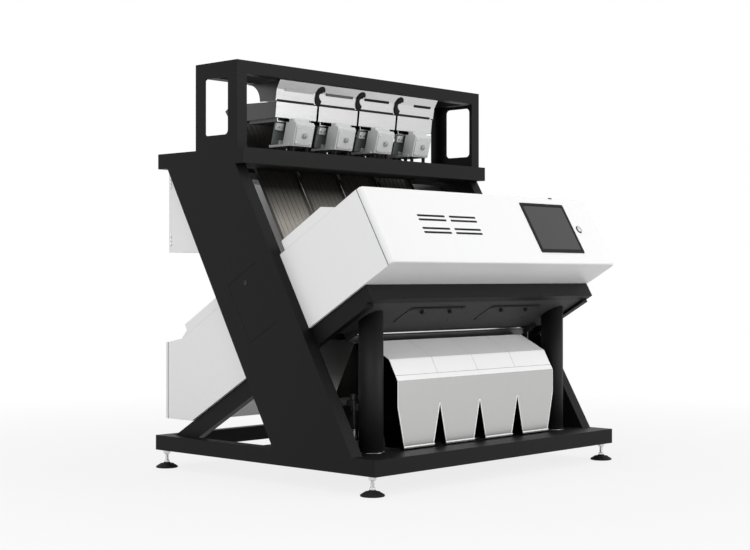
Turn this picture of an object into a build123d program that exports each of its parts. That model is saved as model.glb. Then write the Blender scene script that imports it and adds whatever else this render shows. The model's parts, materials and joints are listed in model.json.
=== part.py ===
from build123d import *
from math import cos, radians, sin
import os

# Optical rice sorter with four chutes. Millimetres, +Z up, the floor at Z = 0, the operator at -Y.
# Side outlines are pairs: distance behind the base's front face, height above the floor.
# The sorting head leans with the columns, and its outlines are pairs too: distance in front of the
# columns' front plane, and height along the lean above the top of the diagonal braces.

# Whole machine
WIDTH = 1750
BASE_DEPTH = 1455
LEAN = 30
PITCH = 286
CHUTE_COUNT = 4
RUNNING_GAP = 0.4
DOOR_GAP = 1.5
SHEET = 2
TUBE_WALL = 4
BEARING_GAP = 0.1
CUT = 1

# Levelling feet
FOOT_HEIGHT = 85
FOOT_INSET = 45
PAD_RADIUS = 52.5
PAD_HEIGHT = 26
PAD_RIM = 8
PAD_SHOULDER = (45, 13)
PAD_NECK_RADIUS = 23
SOCKET_RADIUS = 20
SOCKET_HEIGHT = 6
SOCKET_TAPER = 10
STUD_RADIUS = 8
STUD_GRIP = 16
NUT_ACROSS_FLATS = 24
NUT_HEIGHT = 13
STUD_HOLE_GAP = 0.25

# Base frame
BASE_HEIGHT = 71
RAIL_WIDTH = 65
REAR_BEAM_WIDTH = 45
DECK_DEPTH = 290
DECK_THICKNESS = 4

# Leaning columns, diagonal braces and round posts
COLUMN_DEPTH = 425
ACCESS_WIDTH = 217
ACCESS_HEIGHT = 300
ACCESS_LEVEL = 249
ACCESS_LOCK_LEVEL = 102
LOCK_RADIUS = 11
LOCK_LENGTH = 18
BRACE_WIDTH = 40
BRACE_DEPTH = 85
BRACE_FOOT_LEVEL = 100
HEAD_ORIGIN_BACK = 446.5
HEAD_ORIGIN_HEIGHT = 696.9
POST_RADIUS = 55
POST_WALL = 5
POST_BLANK = 720
POST_X = 666
POST_BACK = 220

# Head beam and sloped chamber floor
HEAD_BEAM_FRONT = 386
HEAD_BEAM_DEPTH = 40
HEAD_BEAM_HEIGHT = 72
FLOOR_REAR = 76
FLOOR_THICKNESS = 5
HATCH_WIDTH = 380
HATCH_TOP = 292
HATCH_LENGTH = 124
HATCH_LAP = 12
HATCH_THICKNESS = 3
HATCH_KNOB_X = 96
HATCH_KNOB_INSET = 20
HATCH_KNOB_RADIUS = 8
HATCH_KNOB_HEIGHT = 12

# Optics boxes
BOX_SIDE_INSET = 52
BOX_HEIGHT = 375
BOX_LENGTH = 577
BOX_SHEET = 2.5
FRONT_DOOR_DEPTH = 27
FRONT_DOOR_SIDE_RADIUS = 18
FRONT_DOOR_EDGE_RADIUS = 4
LID_RISE = 48
LID_FRONT = 402
LID_SHOULDER = 329
LID_REAR = 39
LID_OPENING_MARGIN = 45
REAR_LID_FRONT = 464
REAR_LID_STEP = 740
REAR_LID_EDGE = 787
REAR_LID_LIP = 17
REAR_BOX_TOP_END = 793
REAR_BOX_BOTTOM = 235
REAR_BOX_BACK = 1446
REAR_BOX_SHOULDER = 605
DOOR_OPENING_MARGIN = 20
REAR_DOOR_DEPTH = 20
REAR_DOOR_RADIUS = 8
SIGHT_LEVEL = 180
WINDOW_HEIGHT = 150
WINDOW_HALF_WIDTH = 610
GLASS_THICKNESS = 4
GLASS_LAP = 12

# Front door fittings
SCREEN_X = 428
SCREEN_LEVEL = 198
SCREEN_WIDTH = 348
SCREEN_HEIGHT = 276
SCREEN_BEZEL = 9
SCREEN_PROUD = 3
SCREEN_RECESS = 1
SCREEN_CORNER = 6
SCREEN_BODY_DEPTH = 36
VENT_LENGTH = 184
VENT_HEIGHT = 8
VENT_COLUMNS = (-444, -228)
VENT_LEVELS = (152, 173, 217, 238)
KEY_X = 650
KEY_LEVEL = 197
KEY_RADIUS = 12
KEY_HEAD_RADIUS = 16
KEY_HEAD_HEIGHT = 6
KEY_SLOT = 2
KEY_BARREL_LENGTH = 14
KEY_CAM_LENGTH = 34
KEY_CAM_WIDTH = 12
KEY_CAM_THICKNESS = 3

# Upper cabinet, platform and gantry
CABINET_BOTTOM = 1040
CABINET_BACK = 1423
PLATFORM_LEVEL = 1442
PLATFORM_HEIGHT = 72
PLATFORM_FRONT = 820
PLATFORM_BACK = 1437
PLATFORM_FRONT_GIRDER = 240
PLATFORM_GIRDER = 60
GANTRY_FRONT = 863
GANTRY_BACK = 1156
GANTRY_HEIGHT = 404
GANTRY_BEAM = 60
GANTRY_WINDOW_LENGTH = 164
GANTRY_WINDOW_HEIGHT = 265
GANTRY_WINDOW_CENTRE = 1711.5
GANTRY_WINDOW_CORNER = 22

# Chutes
CHUTE_SET_BACK = 190
CHUTE_WIDTH = 260
CHUTE_LIP = 15
CHUTE_RIDGE = 2
CHUTE_BOTTOM = 269
CHUTE_TOP = 1311
CHUTE_GROOVES = 8
CHUTE_RAIL = 40
CHUTE_RAIL_LOW = 344
CHUTE_RAIL_HIGH = 910

# Vibrating feeders
HOPPER_LIP = (897, 1858)
HOPPER_BEND = (922, 1817)
HOPPER_FOOT = (931, 1762)
HOPPER_THROAT_BACK = 1040
HOPPER_ARC_CENTRE_BACK = 1124
HOPPER_ARC_RISE = 5
HOPPER_HALF_LENGTH = 572
CLIP_RADIUS = 27
CLIP_WIDTH = 8
CLIP_THICKNESS = 6
CLIP_OPENING = 35
TRAY_MOUNT_DROP = 18
TRAY_MOUNT_FRONT = 952
TRAY_MOUNT_BACK = 1150
TRAY_MOUNT_HALF = 112
TRAY_MOUNT_GAP = 0.8
TRAY_WIDTH = 272
TRAY_FRONT = 940
TRAY_FLOOR = 1683
TRAY_RIM = 1757
TRAY_FRONT_LEAN = 9
TRAY_SIDE_TOP = (1254, 1765)
TRAY_TIP = (1302, 1737)
TRAY_TOE = (1255, 1672)
TRAY_FLOOR_END = (1195, 1678)
TRAY_WEB_LAP = 3
HOUSING_WIDTH = 124
HOUSING_DEPTH = 72
HOUSING_FRONT = 900
HOUSING_BEVEL = 12
HOUSING_BOTTOM = 1549
HOUSING_LEAN = 15
COVER_MARGIN = 7
COVER_HEIGHT = 92
COVER_THICKNESS = 5
KNOB_RADIUS = 14
KNOB_HEIGHT = 9
KNOB_LOBES = 5
KNOB_VALLEY_RADIUS = 10
KNOB_HUB_RADIUS = 5
KNOB_HUB_HEIGHT = 12
SPRING_HALF_WIDTH = 108
SPRING_THICKNESS = 4
SPRING_BACK = 100
BASE_PLATE_HALF_WIDTH = 70
BASE_PLATE_THICKNESS = 12
BASE_PLATE_FRONT = 920
BASE_PLATE_BACK = 1056
BUFFER_RADIUS = 9
BUFFER_SIDES = 8
BUFFER_X = 45
BUFFER_BACKS = (915, 1040)

# Outlets
OUTLET_HALF_WIDTH = 143
MOUTH_HALF_WIDTH = 101
MOUTH_LEVEL = 164
TAPER_LEVEL = 348
SPOUT_FRONT = 148
SPOUT_MOUTH_DEPTH = 110
SPOUT_BEND = 464
SPOUT_HEEL = 400
SPOUT_CREASE = (200, 557)
SPOUT_TOP = (350, 633)
PARTITION_TOP = (412, 619)
HEM = 10
FLANGE_LAP = 4
HANGER_SIZE = 30
HANGER_LEVEL = 640
REAR_HOPPER_LEVEL = 656
REAR_HOPPER_BACK = 700
REAR_HOPPER_CORNER = 473
REAR_THROAT_FRONT = 540
REAR_THROAT_BACK = 620
REAR_THROAT_TOP = 366
REAR_THROAT_BOTTOM = 300
SPLITTER_BACK = 375
SPLITTER_LEVEL = 663
SPLITTER_RADIUS = 7
EAR_X = 650
EAR_THICKNESS = 6
EAR_LAP = 34
EAR_REACH = 51
EAR_DROP = 18
EAR_RISE = 22
BLADE_LENGTH = 32
BLADE_SHIFT = 8
BLADE_THICKNESS = 3
BLADE_END_GAP = 4
LEVER_GAP = 1
LEVER_THICKNESS = 6
LEVER_WIDTH = 18
LEVER_LENGTH = 86
LEVER_RISE = 14
LEVER_EYE_RISE = 22
LEVER_EYE_RADIUS = 15
LEVER_HOLE_RADIUS = 7

# Ejectors, lamps, cameras and wiper inside the head
MANIFOLD_FRONT = 235
MANIFOLD_SIZE = 50
MANIFOLD_LEVEL = 112
VALVE_DEPTH = 34
VALVE_MARGIN = 12
VALVE_INSET = 6
NOZZLE_REACH = 12
NOZZLE_HEIGHT = 10
LAMP_SIZE = 30
LAMP_SET_BACK = 20
LAMP_SPREAD = 45
CAMERA_SIZE = 80
CAMERA_LENGTH = 130
LENS_RADIUS = 24
LENS_LENGTH = 45
CAMERA_SET_BACK = 290
CAMERA_FOOT = 40
WIPER_WIDTH = 24
WIPER_MARGIN = 3
WIPER_GAP = 1
WIPER_RAIL_RADIUS = 6
WIPER_RAIL_SET_BACK = 16
WIPER_RAIL_RISE = 24
CARRIAGE_SIZE = 28

# Air regulator
REGULATOR_X = 680
REGULATOR_SIZE = 50
REGULATOR_BOTTOM = 255
REGULATOR_TOP = 379
REGULATOR_BACK = 310
REGULATOR_CORNER = 6
BRACKET_LAP = 8
BRACKET_WIDTH = 24
BRACKET_HEIGHT = 30
BRACKET_DROP = 14
BOWL_RADIUS = 20
BOWL_HEIGHT = 53
AIR_PORT_RADIUS = 9.5
AIR_PORT_DEPTH = 16
AIR_PORT_DROP = 45

# Places worked out from the sizes above
SIN = sin(radians(LEAN))
COS = cos(radians(LEAN))
FORWARD = (0, -COS, SIN)
UPWARD = (0, SIN, COS)
BACKWARD = (0, COS, -SIN)
DOWNWARD = (0, -SIN, -COS)
FRONT_REACH = BOX_LENGTH * COS - FRONT_DOOR_EDGE_RADIUS * SIN - HEAD_ORIGIN_BACK
REAR_REACH = BASE_DEPTH - FOOT_INSET + PAD_RADIUS
MIDDLE = (REAR_REACH - FRONT_REACH) / 2
SIDE = Plane(origin=(0, -MIDDLE, 0), x_dir=(0, 1, 0), z_dir=(1, 0, 0))
BASE_TOP = FOOT_HEIGHT + BASE_HEIGHT
COLUMN_INSIDE = WIDTH / 2 - RAIL_WIDTH
BRACE_INSIDE = COLUMN_INSIDE - BRACE_WIDTH
PLATFORM_TOP = PLATFORM_LEVEL + PLATFORM_HEIGHT
GANTRY_TOP = PLATFORM_TOP + GANTRY_HEIGHT
UNIT_CENTRES = [(i - (CHUTE_COUNT - 1) / 2) * PITCH for i in range(CHUTE_COUNT)]
DOOR_PLANE = BOX_LENGTH - FRONT_DOOR_DEPTH

os.makedirs("parts", exist_ok=True)


def head(forward, up):
    """A point of the leaning head as a side-outline pair."""
    back = HEAD_ORIGIN_BACK - forward * COS + up * SIN
    height = HEAD_ORIGIN_HEIGHT + forward * SIN + up * COS
    return (back, height)


def head_at(forward, height):
    """The side-outline pair at this height on a leaning plane of the head."""
    up = (height - HEAD_ORIGIN_HEIGHT - forward * SIN) / COS
    return head(forward, up)


def head_plane(x, forward, up, direction):
    """A work plane on the head that faces this direction, with its x axis across the machine."""
    back, height = head(forward, up)
    return Plane(origin=(x, back - MIDDLE, height), x_dir=(1, 0, 0), z_dir=direction)


def box_outline(front, bottom, back, top):
    """An upright rectangle as a side outline."""
    return [(front, bottom), (back, bottom), (back, top), (front, top)]


def head_box(rear, low, front, high):
    """A rectangle that leans with the head, as a side outline."""
    return [head(rear, low), head(front, low), head(front, high), head(rear, high)]


def slab(outline, start, end, mode=Mode.ADD):
    """In the part being built, a prism of a side outline from x = start to x = end."""
    with BuildSketch(SIDE.offset(start)) as section:
        with BuildLine():
            Polyline(*outline, close=True)
        make_face()
    extrude(section.sketch, amount=end - start, mode=mode)


def hollow_slab(outline, start, end, wall):
    """A prism of a side outline with closed walls all round."""
    slab(outline, start, end)
    with BuildSketch(SIDE.offset(start + wall)) as section:
        with BuildLine():
            Polyline(*outline, close=True)
        make_face()
        offset(amount=-wall, mode=Mode.REPLACE)
    extrude(section.sketch, amount=end - start - 2 * wall, mode=Mode.SUBTRACT)


def tube_slab(outline, start, end, wall):
    """A prism of a side outline that is open at both ends."""
    slab(outline, start, end)
    with BuildSketch(SIDE.offset(start)) as section:
        with BuildLine():
            Polyline(*outline, close=True)
        make_face()
        offset(amount=-wall, mode=Mode.REPLACE)
    extrude(section.sketch, amount=end - start, mode=Mode.SUBTRACT)


def span(side, inner, outer):
    """The x range from inner to outer on the left (-1) or right (+1) half."""
    return (inner, outer) if side > 0 else (-outer, -inner)


def save(piece, name):
    piece.part.label = name
    export_step(piece.part, f"parts/{name}.step")


# Levelling feet

foot_x = (WIDTH - RAIL_WIDTH) / 2
foot_backs = (FOOT_INSET, BASE_DEPTH - FOOT_INSET)
foot_places = [(x, back - MIDDLE, 0) for x in (-foot_x, foot_x) for back in foot_backs]
socket_top = PAD_HEIGHT + SOCKET_HEIGHT
stud_top = FOOT_HEIGHT + STUD_GRIP

with BuildPart() as foot_pad:
    with BuildSketch(Plane.XZ):
        with BuildLine():
            Polyline(
                (0, 0), (PAD_RADIUS, 0), (PAD_RADIUS, PAD_RIM), PAD_SHOULDER,
                (PAD_NECK_RADIUS, PAD_HEIGHT), (0, PAD_HEIGHT),
                close=True,
            )
        make_face()
    revolve(axis=Axis.Z)

with BuildPart() as foot_pads:
    with Locations(*foot_places):
        add(foot_pad.part)
save(foot_pads, "foot_pads")

with BuildPart() as foot_stud:
    with BuildSketch(Plane.XZ):
        with BuildLine():
            Polyline(
                (0, PAD_HEIGHT), (SOCKET_RADIUS, PAD_HEIGHT), (SOCKET_RADIUS, socket_top),
                (STUD_RADIUS, socket_top + SOCKET_TAPER), (STUD_RADIUS, stud_top), (0, stud_top),
                close=True,
            )
        make_face()
    revolve(axis=Axis.Z)

with BuildPart() as foot_nut:
    with BuildSketch(Plane.XY.offset(FOOT_HEIGHT - NUT_HEIGHT)):
        RegularPolygon(NUT_ACROSS_FLATS / 2, 6, major_radius=False)
        Circle(STUD_RADIUS + RUNNING_GAP / 2, mode=Mode.SUBTRACT)
    extrude(amount=NUT_HEIGHT)

with BuildPart() as levelling_screws:
    with Locations(*foot_places):
        add(foot_stud.part)
        add(foot_nut.part)
save(levelling_screws, "levelling_screws")

# Base frame

with BuildPart() as base_side_rails:
    for side in (-1, 1):
        hollow_slab(box_outline(0, FOOT_HEIGHT, BASE_DEPTH, BASE_TOP),
                    *span(side, COLUMN_INSIDE, WIDTH / 2), TUBE_WALL)
    with Locations(*[(x, y, FOOT_HEIGHT) for x, y, _ in foot_places]):
        Cylinder(STUD_RADIUS + STUD_HOLE_GAP, 3 * TUBE_WALL, mode=Mode.SUBTRACT)
save(base_side_rails, "base_side_rails")

front_beam_top = BASE_TOP - DECK_THICKNESS

with BuildPart() as base_cross_beams:
    for front in (0, DECK_DEPTH - RAIL_WIDTH):
        tube_slab(box_outline(front, FOOT_HEIGHT, front + RAIL_WIDTH, front_beam_top),
                  -COLUMN_INSIDE, COLUMN_INSIDE, TUBE_WALL)
    tube_slab(box_outline(BASE_DEPTH - REAR_BEAM_WIDTH, FOOT_HEIGHT, BASE_DEPTH, BASE_TOP),
              -COLUMN_INSIDE, COLUMN_INSIDE, TUBE_WALL)
save(base_cross_beams, "base_cross_beams")

with BuildPart() as base_deck:
    slab(box_outline(0, front_beam_top, DECK_DEPTH, BASE_TOP), -COLUMN_INSIDE, COLUMN_INSIDE)
save(base_deck, "base_deck")

# Leaning columns and their access doors

column_outline = [
    head_at(0, BASE_TOP), head_at(-COLUMN_DEPTH, BASE_TOP),
    head_at(-COLUMN_DEPTH, PLATFORM_LEVEL), head_at(0, PLATFORM_LEVEL),
]
access_centre = head(-COLUMN_DEPTH / 2, ACCESS_LEVEL)
hinge_shift = (-(DOOR_GAP - RUNNING_GAP) / 2 * COS, (DOOR_GAP - RUNNING_GAP) / 2 * SIN)
access_lock = head(-COLUMN_DEPTH / 2, ACCESS_LEVEL + ACCESS_LOCK_LEVEL)

for side_name, side in (("left", -1), ("right", 1)):
    outer_face = SIDE.offset(side * WIDTH / 2)
    with BuildPart() as column:
        hollow_slab(column_outline, *span(side, COLUMN_INSIDE, WIDTH / 2), TUBE_WALL)
        with BuildSketch(outer_face):
            with Locations(access_centre):
                Rectangle(ACCESS_WIDTH, ACCESS_HEIGHT, rotation=-LEAN)
        extrude(amount=-side * TUBE_WALL, mode=Mode.SUBTRACT)
    save(column, f"column_{side_name}")

    with BuildPart() as access_door:
        with BuildSketch(outer_face):
            with Locations(access_centre):
                with Locations(hinge_shift):
                    Rectangle(ACCESS_WIDTH - DOOR_GAP - RUNNING_GAP, ACCESS_HEIGHT - 2 * DOOR_GAP,
                              rotation=-LEAN)
        extrude(amount=-side * SHEET)
        with BuildSketch(outer_face):
            with Locations(access_lock):
                Circle(LOCK_RADIUS)
        extrude(amount=-side * LOCK_LENGTH)
    save(access_door, f"access_door_{side_name}")

# Diagonal braces, head beams and posts

rear_beam_front = BASE_DEPTH - REAR_BEAM_WIDTH
brace_front = HEAD_BEAM_FRONT - HEAD_BEAM_DEPTH
brace_length = (HEAD_ORIGIN_HEIGHT - BRACE_FOOT_LEVEL) / SIN
brace_line = head_box(-brace_length, -BRACE_DEPTH, brace_front, 0)
brace_reach = box_outline(0, BRACE_FOOT_LEVEL, rear_beam_front, PLATFORM_LEVEL)

with BuildPart() as diagonal_braces:
    for side in (-1, 1):
        start, end = span(side, BRACE_INSIDE, COLUMN_INSIDE)
        for wall, mode in ((0, Mode.ADD), (TUBE_WALL, Mode.SUBTRACT)):
            with BuildSketch(SIDE.offset(start + wall)) as section:
                with BuildLine():
                    Polyline(*brace_line, close=True)
                make_face()
                with BuildLine():
                    Polyline(*brace_reach, close=True)
                make_face(mode=Mode.INTERSECT)
                offset(amount=-wall, mode=Mode.REPLACE)
            extrude(section.sketch, amount=end - start - 2 * wall, mode=mode)
save(diagonal_braces, "diagonal_braces")

hanger_front = PARTITION_TOP[0]

with BuildPart() as head_beams:
    tube_slab(head_box(brace_front, -HEAD_BEAM_HEIGHT, HEAD_BEAM_FRONT, 0),
              -COLUMN_INSIDE, COLUMN_INSIDE, TUBE_WALL)
    tube_slab(box_outline(hanger_front, HANGER_LEVEL, hanger_front + HANGER_SIZE, HANGER_LEVEL + HANGER_SIZE),
              -BRACE_INSIDE, BRACE_INSIDE, TUBE_WALL)
save(head_beams, "head_beams")

with BuildPart() as support_posts:
    with Locations((-POST_X, POST_BACK - MIDDLE, BASE_TOP), (POST_X, POST_BACK - MIDDLE, BASE_TOP)):
        Cylinder(POST_RADIUS, POST_BLANK, align=(Align.CENTER, Align.CENTER, Align.MIN))
        Cylinder(POST_RADIUS - POST_WALL, POST_BLANK,
                 align=(Align.CENTER, Align.CENTER, Align.MIN), mode=Mode.SUBTRACT)
    split(bisect_by=head_plane(0, 0, -HEAD_BEAM_HEIGHT, UPWARD), keep=Keep.BOTTOM)
save(support_posts, "support_posts")

# Sloped chamber floor with its two hatches, and the ears that hold the splitter

floor_top = FLOOR_THICKNESS - HEAD_BEAM_HEIGHT
hatch_rear = HATCH_TOP - HATCH_LENGTH
splitter_axis = (SPLITTER_BACK, SPLITTER_LEVEL)
ear_low = -HEAD_BEAM_HEIGHT - EAR_DROP
ear_high = floor_top + EAR_RISE
ear_outline = [
    head(FLOOR_REAR + EAR_LAP, -HEAD_BEAM_HEIGHT), head(FLOOR_REAR + EAR_LAP, ear_low),
    head(FLOOR_REAR - EAR_REACH, ear_low), head(FLOOR_REAR - EAR_REACH, ear_high),
    head(FLOOR_REAR, ear_high), head(FLOOR_REAR, -HEAD_BEAM_HEIGHT),
]

with BuildPart() as chamber_floor:
    slab(head_box(FLOOR_REAR, -HEAD_BEAM_HEIGHT, brace_front, floor_top), -BRACE_INSIDE, BRACE_INSIDE)
    for centre in (-PITCH, PITCH):
        half = HATCH_WIDTH / 2 - HATCH_LAP
        slab(head_box(hatch_rear + HATCH_LAP, -HEAD_BEAM_HEIGHT, HATCH_TOP - HATCH_LAP, floor_top),
             centre - half, centre + half, mode=Mode.SUBTRACT)
    for side in (-1, 1):
        slab(ear_outline, *span(side, EAR_X - EAR_THICKNESS / 2, EAR_X + EAR_THICKNESS / 2))
    with BuildSketch(SIDE):
        with Locations(splitter_axis):
            Circle(SPLITTER_RADIUS + BEARING_GAP)
    extrude(amount=WIDTH / 2, both=True, mode=Mode.SUBTRACT)
save(chamber_floor, "chamber_floor")

with BuildPart() as sample_hatches:
    hatch_low = -HEAD_BEAM_HEIGHT - HATCH_THICKNESS
    for centre in (-PITCH, PITCH):
        slab(head_box(hatch_rear, hatch_low, HATCH_TOP, -HEAD_BEAM_HEIGHT),
             centre - HATCH_WIDTH / 2, centre + HATCH_WIDTH / 2)
        for knob in (-HATCH_KNOB_X, HATCH_KNOB_X):
            with Locations(head_plane(centre + knob, HATCH_TOP - HATCH_KNOB_INSET, hatch_low, DOWNWARD)):
                Cylinder(HATCH_KNOB_RADIUS, HATCH_KNOB_HEIGHT, align=(Align.CENTER, Align.CENTER, Align.MIN))
save(sample_hatches, "sample_hatches")

# Splitter: shaft, blade and hand lever in one welded piece

lever_inside = EAR_X + EAR_THICKNESS / 2 + LEVER_GAP
lever_outside = lever_inside + LEVER_THICKNESS
blade_half = EAR_X - EAR_THICKNESS / 2 - BLADE_END_GAP
blade_tip = SPLITTER_BACK + BLADE_SHIFT
blade_side = BLADE_THICKNESS / 2

with BuildPart() as splitter:
    with BuildSketch(SIDE.offset(-lever_outside)):
        with Locations(splitter_axis):
            Circle(SPLITTER_RADIUS)
    extrude(amount=2 * lever_outside)
    slab([
        (SPLITTER_BACK - blade_side, SPLITTER_LEVEL), (SPLITTER_BACK + blade_side, SPLITTER_LEVEL),
        (blade_tip + blade_side, SPLITTER_LEVEL - BLADE_LENGTH),
        (blade_tip - blade_side, SPLITTER_LEVEL - BLADE_LENGTH),
    ], -blade_half, blade_half)
    slab(box_outline(SPLITTER_BACK - LEVER_WIDTH / 2, SPLITTER_LEVEL - LEVER_LENGTH,
                     SPLITTER_BACK + LEVER_WIDTH / 2, SPLITTER_LEVEL + LEVER_RISE),
         lever_inside, lever_outside)
    with BuildSketch(SIDE.offset(lever_inside)):
        with Locations((SPLITTER_BACK, SPLITTER_LEVEL + LEVER_EYE_RISE)):
            Circle(LEVER_EYE_RADIUS)
            Circle(LEVER_HOLE_RADIUS, mode=Mode.SUBTRACT)
    extrude(amount=LEVER_THICKNESS)
save(splitter, "splitter")

# Front outlet spouts

spout_back = SPOUT_FRONT + SPOUT_MOUTH_DEPTH
spout_outline = [
    (SPOUT_FRONT, MOUTH_LEVEL), (SPOUT_FRONT, SPOUT_BEND), SPOUT_CREASE, SPOUT_TOP, PARTITION_TOP,
    (spout_back, SPOUT_HEEL), (spout_back, MOUTH_LEVEL),
]

for number, centre in enumerate(UNIT_CENTRES, start=1):
    with BuildPart() as spout:
        slab(spout_outline, centre - OUTLET_HALF_WIDTH, centre + OUTLET_HALF_WIDTH)
        with BuildSketch(Plane.XZ):
            with BuildLine():
                Polyline(
                    (centre - OUTLET_HALF_WIDTH, PLATFORM_LEVEL), (centre - OUTLET_HALF_WIDTH, TAPER_LEVEL),
                    (centre - MOUTH_HALF_WIDTH, MOUTH_LEVEL), (centre + MOUTH_HALF_WIDTH, MOUTH_LEVEL),
                    (centre + OUTLET_HALF_WIDTH, TAPER_LEVEL), (centre + OUTLET_HALF_WIDTH, PLATFORM_LEVEL),
                    close=True,
                )
            make_face()
        extrude(amount=WIDTH, both=True, mode=Mode.INTERSECT)
        mouth = faces().sort_by(Axis.Z)[0]
        inlet = faces().sort_by(Axis.Z)[-1]
        offset(amount=-SHEET, openings=[mouth, inlet])
        slab(box_outline(PARTITION_TOP[0] - SHEET, PARTITION_TOP[1] - FLANGE_LAP,
                         PARTITION_TOP[0], HANGER_LEVEL + HANGER_SIZE),
             centre - OUTLET_HALF_WIDTH, centre + OUTLET_HALF_WIDTH)
        with BuildSketch(Plane.XY.offset(MOUTH_LEVEL)):
            with Locations((centre, SPOUT_FRONT + SPOUT_MOUTH_DEPTH / 2 - MIDDLE)):
                Rectangle(2 * MOUTH_HALF_WIDTH + 2 * SHEET, SPOUT_MOUTH_DEPTH + 2 * SHEET)
                Rectangle(2 * MOUTH_HALF_WIDTH - 2 * SHEET, SPOUT_MOUTH_DEPTH - 2 * SHEET, mode=Mode.SUBTRACT)
        extrude(amount=HEM)
    save(spout, f"outlet_spout_{number}")

# Rear outlet hopper, hung from the same beam

rear_hopper_front = PARTITION_TOP[0] + SHEET

with BuildPart() as rear_outlet_hopper:
    slab([
        (rear_hopper_front, PARTITION_TOP[1]), (REAR_THROAT_FRONT, REAR_THROAT_TOP),
        (REAR_THROAT_FRONT, REAR_THROAT_BOTTOM), (REAR_THROAT_BACK, REAR_THROAT_BOTTOM),
        (REAR_THROAT_BACK, REAR_THROAT_TOP), (REAR_HOPPER_BACK, REAR_HOPPER_LEVEL),
        (REAR_HOPPER_CORNER, REAR_HOPPER_LEVEL),
    ], -HOPPER_HALF_LENGTH, HOPPER_HALF_LENGTH)
    low_face = faces().sort_by(Axis.Z)[0]
    top_faces = faces().filter_by(lambda face: face.normal_at().Z > 0.5)
    offset(amount=-SHEET, openings=[low_face, *top_faces])
    slab(box_outline(rear_hopper_front, PARTITION_TOP[1] - FLANGE_LAP,
                     rear_hopper_front + SHEET, HANGER_LEVEL),
         -HOPPER_HALF_LENGTH, HOPPER_HALF_LENGTH)
save(rear_outlet_hopper, "rear_outlet_hopper")

# Front optics box: shell, lid and door

box_half = WIDTH / 2 - BOX_SIDE_INSET
window_low = SIGHT_LEVEL - WINDOW_HEIGHT / 2
window_high = SIGHT_LEVEL + WINDOW_HEIGHT / 2

with BuildPart() as front_box_shell:
    slab(head_box(0, 0, DOOR_PLANE - RUNNING_GAP, BOX_HEIGHT), -box_half, box_half)
    slab(head_box(BOX_SHEET, BOX_SHEET, DOOR_PLANE + CUT, BOX_HEIGHT - BOX_SHEET),
         -box_half + BOX_SHEET, box_half - BOX_SHEET, mode=Mode.SUBTRACT)
    slab(head_box(-CUT, window_low, BOX_SHEET + CUT, window_high),
         -WINDOW_HALF_WIDTH, WINDOW_HALF_WIDTH, mode=Mode.SUBTRACT)
    slab(head_box(LID_REAR + LID_OPENING_MARGIN, BOX_HEIGHT - 2 * BOX_SHEET,
                  LID_FRONT - LID_OPENING_MARGIN, BOX_HEIGHT + CUT),
         -box_half + LID_OPENING_MARGIN, box_half - LID_OPENING_MARGIN, mode=Mode.SUBTRACT)
save(front_box_shell, "front_box_shell")

lid_low = BOX_HEIGHT + RUNNING_GAP
lid_high = BOX_HEIGHT + LID_RISE

with BuildPart() as front_lid:
    slab([head(LID_FRONT, lid_low), head(LID_SHOULDER, lid_high),
          head(LID_REAR, lid_high), head(LID_REAR, lid_low)],
         -box_half, box_half)
    open_face = faces().sort_by(Axis((0, 0, 0), UPWARD))[0]
    offset(amount=-SHEET, openings=open_face)
save(front_lid, "front_lid")

with BuildPart() as front_door:
    with BuildSketch(head_plane(0, DOOR_PLANE, BOX_HEIGHT / 2, FORWARD)):
        Rectangle(2 * box_half, BOX_HEIGHT)
    extrude(amount=FRONT_DOOR_DEPTH)
    side_edges = edges().filter_by(Axis((0, 0, 0), UPWARD)).group_by(Axis((0, 0, 0), FORWARD))[-1]
    fillet(side_edges, FRONT_DOOR_SIDE_RADIUS)
    long_edges = edges().filter_by(Axis.X).group_by(Axis((0, 0, 0), FORWARD))[-1]
    chamfer(long_edges, FRONT_DOOR_EDGE_RADIUS)
    rear_face = faces().sort_by(Axis((0, 0, 0), FORWARD))[0]
    offset(amount=-SHEET, openings=rear_face)
    with BuildSketch(head_plane(0, BOX_LENGTH, 0, FORWARD)):
        with Locations(*[(x, level) for x in VENT_COLUMNS for level in VENT_LEVELS]):
            SlotOverall(VENT_LENGTH, VENT_HEIGHT)
        with Locations((SCREEN_X, SCREEN_LEVEL)):
            Rectangle(SCREEN_WIDTH - 2 * SCREEN_BEZEL, SCREEN_HEIGHT - 2 * SCREEN_BEZEL)
        with Locations((KEY_X, KEY_LEVEL)):
            Circle(KEY_RADIUS + RUNNING_GAP)
    extrude(amount=-FRONT_DOOR_DEPTH, mode=Mode.SUBTRACT)
save(front_door, "front_door")

# Touch screen: a bezel on the door with the computer's body behind it

with BuildPart() as touch_screen:
    with BuildSketch(head_plane(SCREEN_X, BOX_LENGTH, SCREEN_LEVEL, FORWARD)):
        RectangleRounded(SCREEN_WIDTH, SCREEN_HEIGHT, SCREEN_CORNER)
    extrude(amount=SCREEN_PROUD)
    with BuildSketch(head_plane(SCREEN_X, BOX_LENGTH, SCREEN_LEVEL, FORWARD)):
        Rectangle(SCREEN_WIDTH - 2 * SCREEN_BEZEL - 2 * RUNNING_GAP,
                  SCREEN_HEIGHT - 2 * SCREEN_BEZEL - 2 * RUNNING_GAP)
    extrude(amount=-SCREEN_BODY_DEPTH)
    with BuildSketch(head_plane(SCREEN_X, BOX_LENGTH + SCREEN_PROUD, SCREEN_LEVEL, FORWARD)):
        Rectangle(SCREEN_WIDTH - 3 * SCREEN_BEZEL, SCREEN_HEIGHT - 3 * SCREEN_BEZEL)
    extrude(amount=-SCREEN_RECESS, mode=Mode.SUBTRACT)
save(touch_screen, "touch_screen")

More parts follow.
